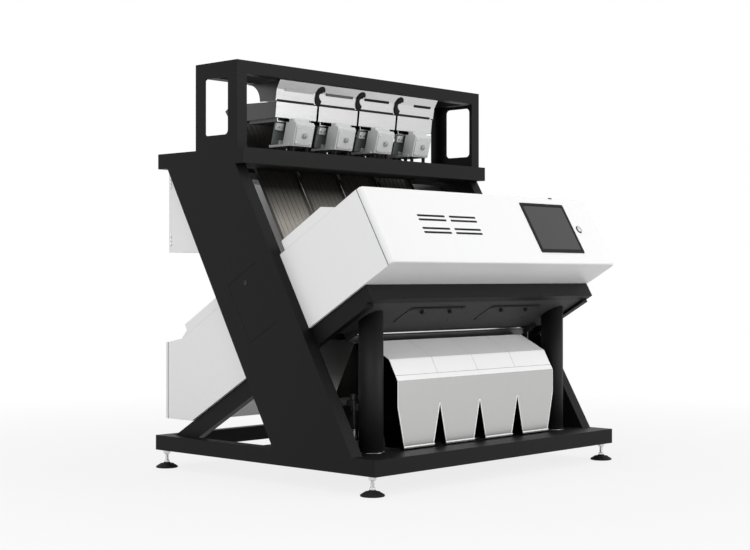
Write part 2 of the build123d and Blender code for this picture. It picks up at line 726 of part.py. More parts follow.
with BuildPart() as door_lock:
    with BuildSketch(head_plane(KEY_X, BOX_LENGTH + RUNNING_GAP, KEY_LEVEL, FORWARD)):
        Circle(KEY_HEAD_RADIUS)
    extrude(amount=KEY_HEAD_HEIGHT)
    with BuildSketch(head_plane(KEY_X, BOX_LENGTH + RUNNING_GAP + KEY_HEAD_HEIGHT, KEY_LEVEL, FORWARD)):
        Rectangle(KEY_HEAD_RADIUS, KEY_SLOT)
    extrude(amount=-KEY_SLOT, mode=Mode.SUBTRACT)
    with BuildSketch(head_plane(KEY_X, BOX_LENGTH + RUNNING_GAP, KEY_LEVEL, FORWARD)):
        Circle(KEY_RADIUS)
    extrude(amount=-KEY_BARREL_LENGTH)
    with BuildSketch(head_plane(KEY_X, BOX_LENGTH + RUNNING_GAP - KEY_BARREL_LENGTH, KEY_LEVEL, FORWARD)):
        with Locations((KEY_CAM_LENGTH / 2 - KEY_CAM_WIDTH / 2, 0)):
            Rectangle(KEY_CAM_LENGTH, KEY_CAM_WIDTH)
    extrude(amount=KEY_CAM_THICKNESS)
save(door_lock, "door_lock")

# Lower rear optics box: shell, lid and door

rear_box_toe = (REAR_BOX_BOTTOM - HEAD_ORIGIN_HEIGHT) / SIN
rear_door_front = REAR_BOX_BACK - REAR_DOOR_DEPTH
rear_box_outline = [
    head(-COLUMN_DEPTH, 0), head(rear_box_toe, 0),
    (rear_door_front - RUNNING_GAP, REAR_BOX_BOTTOM), (rear_door_front - RUNNING_GAP, REAR_BOX_SHOULDER),
    head(-REAR_BOX_TOP_END, BOX_HEIGHT), head(-COLUMN_DEPTH, BOX_HEIGHT),
]

with BuildPart() as rear_box_shell:
    hollow_slab(rear_box_outline, -box_half, box_half, BOX_SHEET)
    slab(head_box(-COLUMN_DEPTH - BOX_SHEET - CUT, window_low, -COLUMN_DEPTH + CUT, window_high),
         -WINDOW_HALF_WIDTH, WINDOW_HALF_WIDTH, mode=Mode.SUBTRACT)
    slab(box_outline(rear_door_front - 2 * BOX_SHEET, REAR_BOX_BOTTOM + DOOR_OPENING_MARGIN,
                     rear_door_front + CUT, REAR_BOX_SHOULDER - DOOR_OPENING_MARGIN),
         DOOR_OPENING_MARGIN - box_half, box_half - DOOR_OPENING_MARGIN, mode=Mode.SUBTRACT)
    slab(head_box(-REAR_LID_STEP + LID_OPENING_MARGIN, BOX_HEIGHT - 2 * BOX_SHEET,
                  -REAR_LID_FRONT - LID_OPENING_MARGIN, BOX_HEIGHT + CUT),
         -box_half + LID_OPENING_MARGIN, box_half - LID_OPENING_MARGIN, mode=Mode.SUBTRACT)
save(rear_box_shell, "rear_box_shell")

with BuildPart() as rear_lid:
    slab([head(-REAR_LID_FRONT, lid_low), head(-REAR_LID_FRONT, lid_high), head(-REAR_LID_STEP, lid_high),
          head(-REAR_LID_STEP, lid_low + REAR_LID_LIP), head(-REAR_LID_EDGE, lid_low + SHEET),
          head(-REAR_LID_EDGE, lid_low)],
         -box_half, box_half)
    slab([head(-REAR_LID_FRONT - SHEET, lid_low - CUT), head(-REAR_LID_FRONT - SHEET, lid_high - SHEET),
          head(-REAR_LID_STEP + SHEET, lid_high - SHEET), head(-REAR_LID_STEP + SHEET, lid_low - CUT)],
         -box_half + SHEET, box_half - SHEET, mode=Mode.SUBTRACT)
save(rear_lid, "rear_lid")

with BuildPart() as rear_door:
    slab(box_outline(rear_door_front, REAR_BOX_BOTTOM, REAR_BOX_BACK, REAR_BOX_SHOULDER), -box_half, box_half)
    upright = edges().filter_by(Axis.Z).group_by(Axis.Y)[-1]
    fillet(upright, REAR_DOOR_RADIUS)
    inner_face = faces().sort_by(Axis.Y)[0]
    offset(amount=-SHEET, openings=inner_face)
save(rear_door, "rear_door")

# Upper rear cabinet and its two doors

cabinet_door_front = CABINET_BACK - REAR_DOOR_DEPTH

with BuildPart() as cabinet_shell:
    hollow_slab([
        head_at(-COLUMN_DEPTH, CABINET_BOTTOM), (cabinet_door_front - RUNNING_GAP, CABINET_BOTTOM),
        (cabinet_door_front - RUNNING_GAP, PLATFORM_LEVEL), head_at(-COLUMN_DEPTH, PLATFORM_LEVEL),
    ], -box_half, box_half, BOX_SHEET)
    slab(box_outline(cabinet_door_front - 2 * BOX_SHEET, CABINET_BOTTOM + DOOR_OPENING_MARGIN,
                     cabinet_door_front + CUT, PLATFORM_LEVEL - DOOR_OPENING_MARGIN),
         DOOR_OPENING_MARGIN - box_half, box_half - DOOR_OPENING_MARGIN, mode=Mode.SUBTRACT)
save(cabinet_shell, "cabinet_shell")

for side_name, side in (("left", -1), ("right", 1)):
    with BuildPart() as cabinet_door:
        slab(box_outline(cabinet_door_front, CABINET_BOTTOM, CABINET_BACK, PLATFORM_LEVEL - DOOR_GAP),
             *span(side, DOOR_GAP / 2, box_half))
        upright = edges().filter_by(Axis.Z).group_by(Axis.Y)[-1].sort_by(Axis.X)
        fillet(upright[0] if side < 0 else upright[-1], REAR_DOOR_RADIUS)
        inner_face = faces().sort_by(Axis.Y)[0]
        offset(amount=-SHEET, openings=inner_face)
    save(cabinet_door, f"cabinet_door_{side_name}")

# Platform and gantry

girder_inside = WIDTH / 2 - PLATFORM_GIRDER
front_girder_back = PLATFORM_FRONT + PLATFORM_FRONT_GIRDER
rear_girder_front = PLATFORM_BACK - PLATFORM_GIRDER

with BuildPart() as platform_beams:
    tube_slab(box_outline(PLATFORM_FRONT, PLATFORM_LEVEL, front_girder_back, PLATFORM_TOP),
              -girder_inside, girder_inside, TUBE_WALL)
    tube_slab(box_outline(rear_girder_front, PLATFORM_LEVEL, PLATFORM_BACK, PLATFORM_TOP),
              -girder_inside, girder_inside, TUBE_WALL)
    for side in (-1, 1):
        hollow_slab(box_outline(PLATFORM_FRONT, PLATFORM_LEVEL, PLATFORM_BACK, PLATFORM_TOP),
                    *span(side, girder_inside, WIDTH / 2), TUBE_WALL)
save(platform_beams, "platform_beams")

gantry_beam_bottom = GANTRY_TOP - GANTRY_BEAM

with BuildPart() as gantry_ends:
    for side in (-1, 1):
        slab(box_outline(GANTRY_FRONT, PLATFORM_TOP, GANTRY_BACK, gantry_beam_bottom),
             *span(side, girder_inside, WIDTH / 2))
        slab(box_outline(GANTRY_FRONT + TUBE_WALL, PLATFORM_TOP - CUT, GANTRY_BACK - TUBE_WALL, GANTRY_TOP),
             *span(side, girder_inside - CUT, WIDTH / 2 - TUBE_WALL), mode=Mode.SUBTRACT)
    with BuildSketch(SIDE):
        with Locations(((GANTRY_FRONT + GANTRY_BACK) / 2, GANTRY_WINDOW_CENTRE)):
            RectangleRounded(GANTRY_WINDOW_LENGTH, GANTRY_WINDOW_HEIGHT, GANTRY_WINDOW_CORNER)
    extrude(amount=WIDTH, both=True, mode=Mode.SUBTRACT)
save(gantry_ends, "gantry_ends")

with BuildPart() as gantry_beams:
    for front in (GANTRY_FRONT, GANTRY_BACK - GANTRY_BEAM):
        tube_slab(box_outline(front, gantry_beam_bottom, front + GANTRY_BEAM, GANTRY_TOP),
                  -girder_inside, girder_inside, TUBE_WALL)
    for side in (-1, 1):
        hollow_slab(box_outline(GANTRY_FRONT, gantry_beam_bottom, GANTRY_BACK, GANTRY_TOP),
                    *span(side, girder_inside, WIDTH / 2), TUBE_WALL)
save(gantry_beams, "gantry_beams")

# Chutes: shallow grooved channels on two cross rails

groove_pitch = (CHUTE_WIDTH - 2 * SHEET) / CHUTE_GROOVES

for number, centre in enumerate(UNIT_CENTRES, start=1):
    with BuildPart() as chute:
        half = CHUTE_WIDTH / 2
        slab(head_box(-CHUTE_SET_BACK - SHEET, CHUTE_BOTTOM, -CHUTE_SET_BACK, CHUTE_TOP),
             centre - half, centre + half)
        for side in (-1, 1):
            slab(head_box(-CHUTE_SET_BACK, CHUTE_BOTTOM, -CHUTE_SET_BACK + CHUTE_LIP, CHUTE_TOP),
                 *sorted((centre + side * half, centre + side * (half - SHEET))))
        for ridge in range(1, CHUTE_GROOVES):
            x = centre - half + SHEET + ridge * groove_pitch
            slab(head_box(-CHUTE_SET_BACK, CHUTE_BOTTOM, -CHUTE_SET_BACK + SHEET, CHUTE_TOP),
                 x - CHUTE_RIDGE / 2, x + CHUTE_RIDGE / 2)
    save(chute, f"chute_{number}")

wiper_axis = head(-WIPER_RAIL_SET_BACK, SIGHT_LEVEL + WINDOW_HEIGHT / 2 + WIPER_RAIL_RISE)

with BuildPart() as cross_rails:
    rail_front = -CHUTE_SET_BACK - SHEET
    for level in (CHUTE_RAIL_LOW, CHUTE_RAIL_HIGH):
        tube_slab(head_box(rail_front - CHUTE_RAIL, level, rail_front, level + CHUTE_RAIL),
                  -COLUMN_INSIDE, COLUMN_INSIDE, TUBE_WALL / 2)
    with BuildSketch(SIDE.offset(-COLUMN_INSIDE)):
        with Locations(wiper_axis):
            Circle(WIPER_RAIL_RADIUS)
    extrude(amount=2 * COLUMN_INSIDE)
save(cross_rails, "cross_rails")

# Inlet hopper above the trays, with its dividers and the clips at the joints

hopper_arc_centre = (HOPPER_ARC_CENTRE_BACK, HOPPER_FOOT[1] + HOPPER_ARC_RISE)
hopper_arc_radius = HOPPER_ARC_CENTRE_BACK - HOPPER_THROAT_BACK
divider_places = [(i - CHUTE_COUNT / 2) * PITCH for i in range(1, CHUTE_COUNT)]
hopper_plates = [-HOPPER_HALF_LENGTH, *[x - SHEET / 2 for x in divider_places], HOPPER_HALF_LENGTH - SHEET]

with BuildPart() as inlet_hopper:
    slab([HOPPER_LIP, HOPPER_BEND, HOPPER_FOOT,
          (HOPPER_FOOT[0] + SHEET, HOPPER_FOOT[1]), (HOPPER_BEND[0] + SHEET, HOPPER_BEND[1]),
          (HOPPER_LIP[0] + SHEET, HOPPER_LIP[1])], -HOPPER_HALF_LENGTH, HOPPER_HALF_LENGTH)
    with BuildSketch(SIDE.offset(-HOPPER_HALF_LENGTH)):
        with Locations(hopper_arc_centre):
            Circle(hopper_arc_radius)
            Circle(hopper_arc_radius - SHEET, mode=Mode.SUBTRACT)
            Rectangle(hopper_arc_radius, hopper_arc_radius, align=(Align.MAX, Align.MIN), mode=Mode.INTERSECT)
    extrude(amount=2 * HOPPER_HALF_LENGTH)
    for x in hopper_plates:
        with BuildSketch(SIDE.offset(x)):
            with BuildLine():
                Polyline(HOPPER_LIP, HOPPER_BEND, HOPPER_FOOT, (HOPPER_THROAT_BACK, HOPPER_FOOT[1]),
                         (HOPPER_THROAT_BACK, hopper_arc_centre[1]), hopper_arc_centre,
                         (HOPPER_ARC_CENTRE_BACK, hopper_arc_centre[1] + hopper_arc_radius), close=True)
            make_face()
            with Locations(hopper_arc_centre):
                Circle(hopper_arc_radius - SHEET, mode=Mode.SUBTRACT)
        extrude(amount=SHEET)
save(inlet_hopper, "inlet_hopper")

hopper_face_back = (HOPPER_BEND[0] + HOPPER_FOOT[0]) / 2
hopper_face_level = (HOPPER_BEND[1] + HOPPER_FOOT[1]) / 2
hopper_face_normal = (0, HOPPER_FOOT[1] - HOPPER_BEND[1], HOPPER_BEND[0] - HOPPER_FOOT[0])

with BuildPart() as hopper_clips:
    for x in divider_places:
        face_plane = Plane(origin=(x, hopper_face_back - MIDDLE, hopper_face_level),
                           x_dir=(1, 0, 0), z_dir=hopper_face_normal)
        with BuildSketch(face_plane):
            Circle(CLIP_RADIUS)
            Circle(CLIP_RADIUS - CLIP_WIDTH, mode=Mode.SUBTRACT)
            with Locations((CLIP_RADIUS, 0)):
                Rectangle(CLIP_OPENING, 3 * CLIP_RADIUS, mode=Mode.SUBTRACT)
        extrude(amount=CLIP_THICKNESS)
save(hopper_clips, "hopper_clips")

# Vibrating trays: front wall, floor, two pointed side plates and a mounting channel below

tray_front_foot = (TRAY_FRONT, TRAY_FLOOR)
tray_front_rim = (TRAY_FRONT - TRAY_FRONT_LEAN, TRAY_RIM)
tray_side = [tray_front_foot, tray_front_rim, TRAY_SIDE_TOP, TRAY_TIP, TRAY_TOE, TRAY_FLOOR_END]
tray_floor_end_top = (TRAY_FLOOR_END[0], TRAY_FLOOR_END[1] + SHEET)
tray_half = TRAY_WIDTH / 2
mount_bottom = TRAY_FLOOR - TRAY_MOUNT_DROP

for number, centre in enumerate(UNIT_CENTRES, start=1):
    with BuildPart() as tray:
        slab([tray_front_foot, tray_front_rim, (tray_front_rim[0] + SHEET, TRAY_RIM),
              (TRAY_FRONT + SHEET, TRAY_FLOOR)], centre - tray_half, centre + tray_half)
        slab([tray_front_foot, TRAY_FLOOR_END, tray_floor_end_top, (TRAY_FRONT, TRAY_FLOOR + SHEET)],
             centre - tray_half, centre + tray_half)
        slab(tray_side, centre - tray_half, centre - tray_half + SHEET)
        slab(tray_side, centre + tray_half - SHEET, centre + tray_half)
        slab(box_outline(TRAY_MOUNT_FRONT, mount_bottom, TRAY_MOUNT_BACK, mount_bottom + TUBE_WALL),
             centre - TRAY_MOUNT_HALF, centre + TRAY_MOUNT_HALF)
        for side in (-1, 1):
            web = sorted((centre + side * TRAY_MOUNT_HALF, centre + side * (TRAY_MOUNT_HALF - TUBE_WALL)))
            slab([(TRAY_MOUNT_FRONT, mount_bottom), (TRAY_MOUNT_BACK, mount_bottom),
                  (TRAY_MOUNT_BACK, TRAY_FLOOR - TRAY_WEB_LAP), (TRAY_MOUNT_FRONT, TRAY_FLOOR)], *web)
    save(tray, f"feeder_tray_{number}")

# Vibrator housings with their front covers and knobs

housing_lean = radians(HOUSING_LEAN)
housing_tilt = sin(housing_lean) / cos(housing_lean)


def housing_point(back, level):
    """A side-outline pair that leans forward with the housings; level is above their foot."""
    return (HOUSING_FRONT + back - level * housing_tilt, HOUSING_BOTTOM + level)


housing_height = mount_bottom - TRAY_MOUNT_GAP - HOUSING_BOTTOM
housing_outline = [
    housing_point(0, 0), housing_point(HOUSING_DEPTH, 0), housing_point(HOUSING_DEPTH, housing_height),
    housing_point(HOUSING_BEVEL, housing_height), housing_point(0, housing_height - HOUSING_BEVEL),
]
housing_front_normal = (0, -cos(housing_lean), -sin(housing_lean))
cover_back, cover_level = housing_point(0, housing_height / 2 - HOUSING_BEVEL / 2)

with BuildPart() as vibrator_housings:
    for centre in UNIT_CENTRES:
        slab(housing_outline, centre - HOUSING_WIDTH / 2, centre + HOUSING_WIDTH / 2)
save(vibrator_housings, "vibrator_housings")


def cover_plane(x, proud):
    """A plane in front of a housing's face, this far proud of it."""
    normal = Vector(*housing_front_normal)
    origin = Vector(x, cover_back - MIDDLE, cover_level) + normal * proud
    return Plane(origin=origin, x_dir=(1, 0, 0), z_dir=normal)


with BuildPart() as vibrator_covers:
    for centre in UNIT_CENTRES:
        with BuildSketch(cover_plane(centre, 0)):
            Rectangle(HOUSING_WIDTH - 2 * COVER_MARGIN, COVER_HEIGHT)
        extrude(amount=COVER_THICKNESS)
save(vibrator_covers, "vibrator_covers")

knob_turn = radians(180 / KNOB_LOBES)
knob_corners = []
for i in range(KNOB_LOBES):
    lobe = 2 * i * knob_turn
    valley = lobe + knob_turn
    knob_corners.append((KNOB_RADIUS * sin(lobe), KNOB_RADIUS * cos(lobe)))
    knob_corners.append((KNOB_VALLEY_RADIUS * sin(valley), KNOB_VALLEY_RADIUS * cos(valley)))

for number, centre in enumerate(UNIT_CENTRES, start=1):
    with BuildPart() as knob:
        with BuildSketch(cover_plane(centre, COVER_THICKNESS + RUNNING_GAP)):
            with BuildLine():
                Polyline(*knob_corners, close=True)
            make_face()
        extrude(amount=KNOB_HEIGHT)
        with BuildSketch(cover_plane(centre, COVER_THICKNESS + RUNNING_GAP)):
            Circle(KNOB_HUB_RADIUS)
        extrude(amount=KNOB_HUB_HEIGHT)
    save(knob, f"vibrator_knob_{number}")

# Base plates cut out round the housings, the wide leaf springs on them, and the rubber buffers below

base_plate_top = HOUSING_BOTTOM + BASE_PLATE_THICKNESS

with BuildPart() as feeder_base_plates:
    for centre in UNIT_CENTRES:
        slab(box_outline(BASE_PLATE_FRONT, HOUSING_BOTTOM, BASE_PLATE_BACK, base_plate_top),
             centre - BASE_PLATE_HALF_WIDTH, centre + BASE_PLATE_HALF_WIDTH)
        slab(box_outline(BASE_PLATE_FRONT - CUT, HOUSING_BOTTOM - CUT,
                         HOUSING_FRONT + HOUSING_DEPTH + RUNNING_GAP, base_plate_top + CUT),
             centre - HOUSING_WIDTH / 2 - RUNNING_GAP, centre + HOUSING_WIDTH / 2 + RUNNING_GAP,
             mode=Mode.SUBTRACT)
save(feeder_base_plates, "feeder_base_plates")

with BuildPart() as leaf_springs:
    spring_rear = SPRING_BACK + SPRING_THICKNESS
    for centre in UNIT_CENTRES:
        slab([housing_point(SPRING_BACK, BASE_PLATE_THICKNESS),
              housing_point(spring_rear, BASE_PLATE_THICKNESS),
              housing_point(spring_rear, housing_height), housing_point(SPRING_BACK, housing_height)],
             centre - SPRING_HALF_WIDTH, centre + SPRING_HALF_WIDTH)
save(leaf_springs, "leaf_springs")

with BuildPart() as feeder_buffers:
    with BuildSketch(Plane.XY.offset(PLATFORM_TOP)):
        with Locations(*[(centre + side * BUFFER_X, back - MIDDLE)
                         for centre in UNIT_CENTRES for side in (-1, 1) for back in BUFFER_BACKS]):
            RegularPolygon(BUFFER_RADIUS, BUFFER_SIDES)
    extrude(amount=HOUSING_BOTTOM - PLATFORM_TOP)
save(feeder_buffers, "feeder_buffers")

# Optics inside the two boxes

with BuildPart() as sorting_windows:
    for rear in (BOX_SHEET, -COLUMN_DEPTH - BOX_SHEET - GLASS_THICKNESS):
        slab(head_box(rear, window_low - GLASS_LAP, rear + GLASS_THICKNESS, window_high + GLASS_LAP),
             -WINDOW_HALF_WIDTH - GLASS_LAP, WINDOW_HALF_WIDTH + GLASS_LAP)
save(sorting_windows, "sorting_windows")

with BuildPart() as led_bars:
    lamp_half = box_half - BOX_SHEET
    for rear in (LAMP_SET_BACK, -COLUMN_DEPTH - LAMP_SET_BACK - LAMP_SIZE):
        for low in (SIGHT_LEVEL - LAMP_SPREAD - LAMP_SIZE, SIGHT_LEVEL + LAMP_SPREAD):
            slab(head_box(rear, low, rear + LAMP_SIZE, low + LAMP_SIZE), -lamp_half, lamp_half)
save(led_bars, "led_bars")

with BuildPart() as line_cameras:
    for x in (-PITCH, PITCH):
        for direction, face in ((FORWARD, CAMERA_SET_BACK), (BACKWARD, -COLUMN_DEPTH - CAMERA_SET_BACK)):
            reach = CAMERA_LENGTH if face > 0 else -CAMERA_LENGTH
            low = SIGHT_LEVEL - CAMERA_SIZE / 2
            near, far = sorted((face, face + reach))
            centre = (near + far) / 2
            slab(head_box(near, low, far, low + CAMERA_SIZE), x - CAMERA_SIZE / 2, x + CAMERA_SIZE / 2)
            slab(head_box(centre - CAMERA_FOOT / 2, BOX_SHEET, centre + CAMERA_FOOT / 2, low),
                 x - CAMERA_FOOT / 2, x + CAMERA_FOOT / 2)
            with BuildSketch(head_plane(x, face, SIGHT_LEVEL, direction)):
                Circle(LENS_RADIUS)
            extrude(amount=-LENS_LENGTH)
save(line_cameras, "line_cameras")

# Ejector manifold: bar, nozzle strip and valve blocks

with BuildPart() as ejector_manifold:
    bar_rear = -MANIFOLD_FRONT - MANIFOLD_SIZE
    slab(head_box(bar_rear, MANIFOLD_LEVEL, -MANIFOLD_FRONT, MANIFOLD_LEVEL + MANIFOLD_SIZE),
         -COLUMN_INSIDE, COLUMN_INSIDE)
    nozzle_low = MANIFOLD_LEVEL + MANIFOLD_SIZE / 2
    slab(head_box(-MANIFOLD_FRONT, nozzle_low, -MANIFOLD_FRONT + NOZZLE_REACH, nozzle_low + NOZZLE_HEIGHT),
         -HOPPER_HALF_LENGTH, HOPPER_HALF_LENGTH)
    for centre in UNIT_CENTRES:
        slab(head_box(bar_rear - VALVE_DEPTH, MANIFOLD_LEVEL + VALVE_INSET,
                      bar_rear, MANIFOLD_LEVEL + MANIFOLD_SIZE - VALVE_INSET),
             centre - PITCH / 2 + VALVE_MARGIN, centre + PITCH / 2 - VALVE_MARGIN)
save(ejector_manifold, "ejector_manifold")

# Window wiper: a carriage on the round rail and a blade that reaches to the glass

with BuildPart() as window_wiper:
    rail_level = SIGHT_LEVEL + WINDOW_HEIGHT / 2 + WIPER_RAIL_RISE
    slab(head_box(-WIPER_RAIL_SET_BACK - CARRIAGE_SIZE / 2, rail_level - CARRIAGE_SIZE / 2,
                  -WIPER_RAIL_SET_BACK + CARRIAGE_SIZE / 2, rail_level + CARRIAGE_SIZE / 2),
         -CARRIAGE_SIZE, CARRIAGE_SIZE)
    blade_low = window_low + WIPER_MARGIN
    blade_high = window_high - WIPER_MARGIN
    slab(head_box(-WIPER_RAIL_SET_BACK, blade_low, -WIPER_GAP, rail_level), -WIPER_WIDTH / 2, WIPER_WIDTH / 2)
    slab(head_box(-2 * WIPER_GAP, blade_low, BOX_SHEET - RUNNING_GAP, blade_high),
         -WIPER_WIDTH / 2, WIPER_WIDTH / 2)
    with BuildSketch(SIDE):
        with Locations(wiper_axis):
            Circle(WIPER_RAIL_RADIUS + BEARING_GAP)
    extrude(amount=WIDTH, both=True, mode=Mode.SUBTRACT)
save(window_wiper, "window_wiper")

# Air regulator on the left post: body, bowl, bracket and threaded air inlet

with BuildPart() as air_regulator:
    with Locations((-REGULATOR_X, REGULATOR_BACK - MIDDLE, (REGULATOR_BOTTOM + REGULATOR_TOP) / 2)):
        Box(REGULATOR_SIZE, REGULATOR_SIZE, REGULATOR_TOP - REGULATOR_BOTTOM)
    upright = edges().filter_by(Axis.Z)
    fillet(upright, REGULATOR_CORNER)
    with Locations((-REGULATOR_X, REGULATOR_BACK - MIDDLE, REGULATOR_BOTTOM)):
        Cylinder(BOWL_RADIUS, BOWL_HEIGHT, align=(Align.CENTER, Align.CENTER, Align.MAX))
    bracket_top = REGULATOR_TOP - BRACKET_DROP
    slab(box_outline(POST_BACK + POST_RADIUS - BRACKET_LAP, bracket_top - BRACKET_HEIGHT,
                     REGULATOR_BACK - REGULATOR_SIZE / 2, bracket_top),
         -REGULATOR_X - BRACKET_WIDTH / 2, -REGULATOR_X + BRACKET_WIDTH / 2)
    with Locations((-POST_X, POST_BACK - MIDDLE, REGULATOR_BOTTOM)):
        Cylinder(POST_RADIUS + BEARING_GAP, PLATFORM_LEVEL, mode=Mode.SUBTRACT)
    rear_face = REGULATOR_BACK + REGULATOR_SIZE / 2 - MIDDLE
    with Locations(Plane(origin=(-REGULATOR_X, rear_face, REGULATOR_TOP - AIR_PORT_DROP),
                         x_dir=(1, 0, 0), z_dir=(0, 1, 0))):
        Cylinder(AIR_PORT_RADIUS, AIR_PORT_DEPTH, align=(Align.CENTER, Align.CENTER, Align.MAX),
                 mode=Mode.SUBTRACT)
save(air_regulator, "air_regulator")
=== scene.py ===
"""Looks of the four-chute rice sorter: finishes for every CAD node and the fine pieces around them."""
import json
import math

import bmesh
import bpy
import numpy as np
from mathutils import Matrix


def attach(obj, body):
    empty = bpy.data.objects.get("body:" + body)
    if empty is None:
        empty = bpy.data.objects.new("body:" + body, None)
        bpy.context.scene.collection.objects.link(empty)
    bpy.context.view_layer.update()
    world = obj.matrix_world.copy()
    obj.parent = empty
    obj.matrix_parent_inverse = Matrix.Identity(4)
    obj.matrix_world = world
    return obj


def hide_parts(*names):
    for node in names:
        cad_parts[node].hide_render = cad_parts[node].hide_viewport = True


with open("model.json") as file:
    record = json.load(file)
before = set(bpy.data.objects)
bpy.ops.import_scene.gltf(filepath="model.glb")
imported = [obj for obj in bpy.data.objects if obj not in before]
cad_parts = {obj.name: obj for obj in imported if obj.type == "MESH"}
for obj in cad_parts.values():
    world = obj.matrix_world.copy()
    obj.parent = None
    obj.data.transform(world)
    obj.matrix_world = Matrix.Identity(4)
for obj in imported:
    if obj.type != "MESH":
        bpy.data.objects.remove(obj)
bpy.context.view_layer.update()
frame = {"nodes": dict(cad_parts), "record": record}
nodes = frame["nodes"]

# Sizes in metres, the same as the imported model's
LEAN = math.radians(30)
SIN, COS = math.sin(LEAN), math.cos(LEAN)
HEAD_BACK, HEAD_HEIGHT = 0.4465, 0.6969
BASE_DEPTH, FOOT_INSET, PAD_RADIUS = 1.455, 0.045, 0.0525
DOOR_FACE, DOOR_LOW_EDGE = 0.577, 0.004
REAR_REACH = BASE_DEPTH - FOOT_INSET + PAD_RADIUS
FRONT_REACH = DOOR_FACE * COS - DOOR_LOW_EDGE * SIN - HEAD_BACK
MIDDLE = (REAR_REACH - FRONT_REACH) / 2
PITCH = 0.286
UNIT_X = PITCH * np.array([-1.5, -0.5, 0.5, 1.5])
FOOT_X = 0.8425
POST_X, POST_BACK, POST_RADIUS = 0.666, 0.22, 0.055
DECK_TOP = 0.156
CHAMBER_UNDERSIDE = -0.0752
BOX_HALF_WIDTH = 0.823
REAR_DOOR_FACE, CABINET_FACE = 1.446, 1.423
TRIM_THICKNESS = 0.0012

# Directions
ACROSS = np.array([1.0, 0.0, 0.0])
FORWARD = np.array([0.0, -COS, SIN])
UPWARD = np.array([0.0, SIN, COS])
UP = np.array([0.0, 0.0, 1.0])
BACK = np.array([0.0, 1.0, 0.0])


def side_point(x, back, height):
    """A point from its distance behind the base's front face and its height above the floor."""
    return np.array([x, back - MIDDLE, height], float)


def head_point(x, forward, up):
    """A point of the leaning head, from its distance along the head's two leaning directions."""
    return side_point(x, HEAD_BACK, HEAD_HEIGHT) + forward * FORWARD + up * UPWARD


# Mesh making


def grid_faces(rows, columns, wrap=False):
    """Quads between neighbouring points of a grid; wrap also joins the last column to the first."""
    row, column = np.meshgrid(np.arange(rows - 1), np.arange(columns if wrap else columns - 1), indexing="ij")
    here = row * columns + column
    beside = row * columns + (column + 1) % columns
    return np.stack([here, beside, beside + columns, here + columns], axis=-1).reshape(-1, 4)


def grid(points, wrap=False, flip=False):
    """A surface given as an array of points, rows by columns."""
    rows, columns = points.shape[:2]
    faces = grid_faces(rows, columns, wrap)
    return points.reshape(-1, 3), (faces[:, ::-1] if flip else faces)


def gathered(*surfaces):
    """Several surfaces as one, with the face numbers of each moved past the points before it."""
    points = np.concatenate([s[0] for s in surfaces])
    starts = np.cumsum([0] + [len(s[0]) for s in surfaces[:-1]])
    faces = np.concatenate([s[1] + start for s, start in zip(surfaces, starts)])
    return points, faces


def set_in(surface, origin, across, along, out):
    """A surface in local axes moved to a place, its x, y and z along the three directions given."""
    points, faces = surface
    return origin + points[:, :1] * across + points[:, 1:2] * along + points[:, 2:3] * out, faces


def turned(profile, segments=32):
    """A lathe surface: the profile's radius and height at each step, turned once round the local z axis."""
    radius, height = np.array(profile, float).T
    angle = np.linspace(0, 2 * math.pi, segments, endpoint=False)
    points = np.stack([radius[:, None] * np.cos(angle), radius[:, None] * np.sin(angle),
                       height[:, None] + 0 * angle], axis=-1)
    return grid(points, wrap=True)


def piece(name, surface, body, finish, smooth=True):
    """An object of one surface that rides on a body and its finish."""
    points, faces = surface
    mesh = bpy.data.meshes.new(name)
    mesh.from_pydata(points.tolist(), [], faces.tolist())
    joined = bmesh.new()
    joined.from_mesh(mesh)
    bmesh.ops.remove_doubles(joined, verts=joined.verts, dist=1e-6)
    joined.to_mesh(mesh)
    joined.free()
    mesh.validate()
    mesh.polygons.foreach_set("use_smooth", np.full(len(mesh.polygons), smooth))
    mesh.materials.append(finish)
    made = bpy.data.objects.new(name, mesh)
    bpy.context.scene.collection.objects.link(made)
    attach(made, body)
    return made


# Finishes


def link_in(tree, source, socket):
    """One node's output led to another's input."""
    tree.links.new(source, socket)


def new_node(tree, kind, **settings):
    """A shader node whose settings are inputs where it has one of that name, and otherwise properties."""
    made = tree.nodes.new(kind)
    for key, value in settings.items():
        if isinstance(value, (int, float, tuple)) and key in made.inputs:
            made.inputs[key].default_value = value
        else:
            setattr(made, key, value)
    return made


def carried(tree, value, low, high, to_low=0.0, to_high=1.0):
    """A value carried from one range to another and held inside it."""
    made = new_node(tree, "ShaderNodeMapRange")
    for socket, level in (("From Min", low), ("From Max", high), ("To Min", to_low), ("To Max", to_high)):
        made.inputs[socket].default_value = level
    link_in(tree, value, made.inputs["Value"])
    return made.outputs["Result"]


def mixed(tree, share, first, second):
    """Two colours mixed by a share, each of them plain numbers or another node's output."""
    made = new_node(tree, "ShaderNodeMix", data_type="RGBA")
    link_in(tree, share, made.inputs["Factor"])
    for socket, color in zip(MIX_COLOR_INPUTS, (first, second)):
        if isinstance(color, tuple):
            made.inputs[socket].default_value = (*color, 1)
        else:
            link_in(tree, color, made.inputs[socket])
    return made.outputs[MIX_COLOR_OUTPUT]


def seen_by(tree, *rays):
    """One for the kinds of ray that are named, and nought for all others."""
    path = new_node(tree, "ShaderNodeLightPath")
    share = path.outputs[rays[0]]
    for ray in rays[1:]:
        either = new_node(tree, "ShaderNodeMath", operation="MAXIMUM")
        link_in(tree, share, either.inputs[0])
        link_in(tree, path.outputs[ray], either.inputs[1])
        share = either.outputs[0]
    return share


# A colour mix keeps its colours at these places, because its number and vector sockets share their names
MIX_COLOR_INPUTS, MIX_COLOR_OUTPUT = (6, 7), 2
CLOUD_SCALE, FINE_SCALE = 1.0, 12.0
LEAST_ROUGHNESS = 0.02
END_SHADE_FROM, END_SHADE_TO = 0.55, 0.85
EDGE_HIGHLIGHT_FROM, EDGE_HIGHLIGHT_TO = 0.98, 0.80


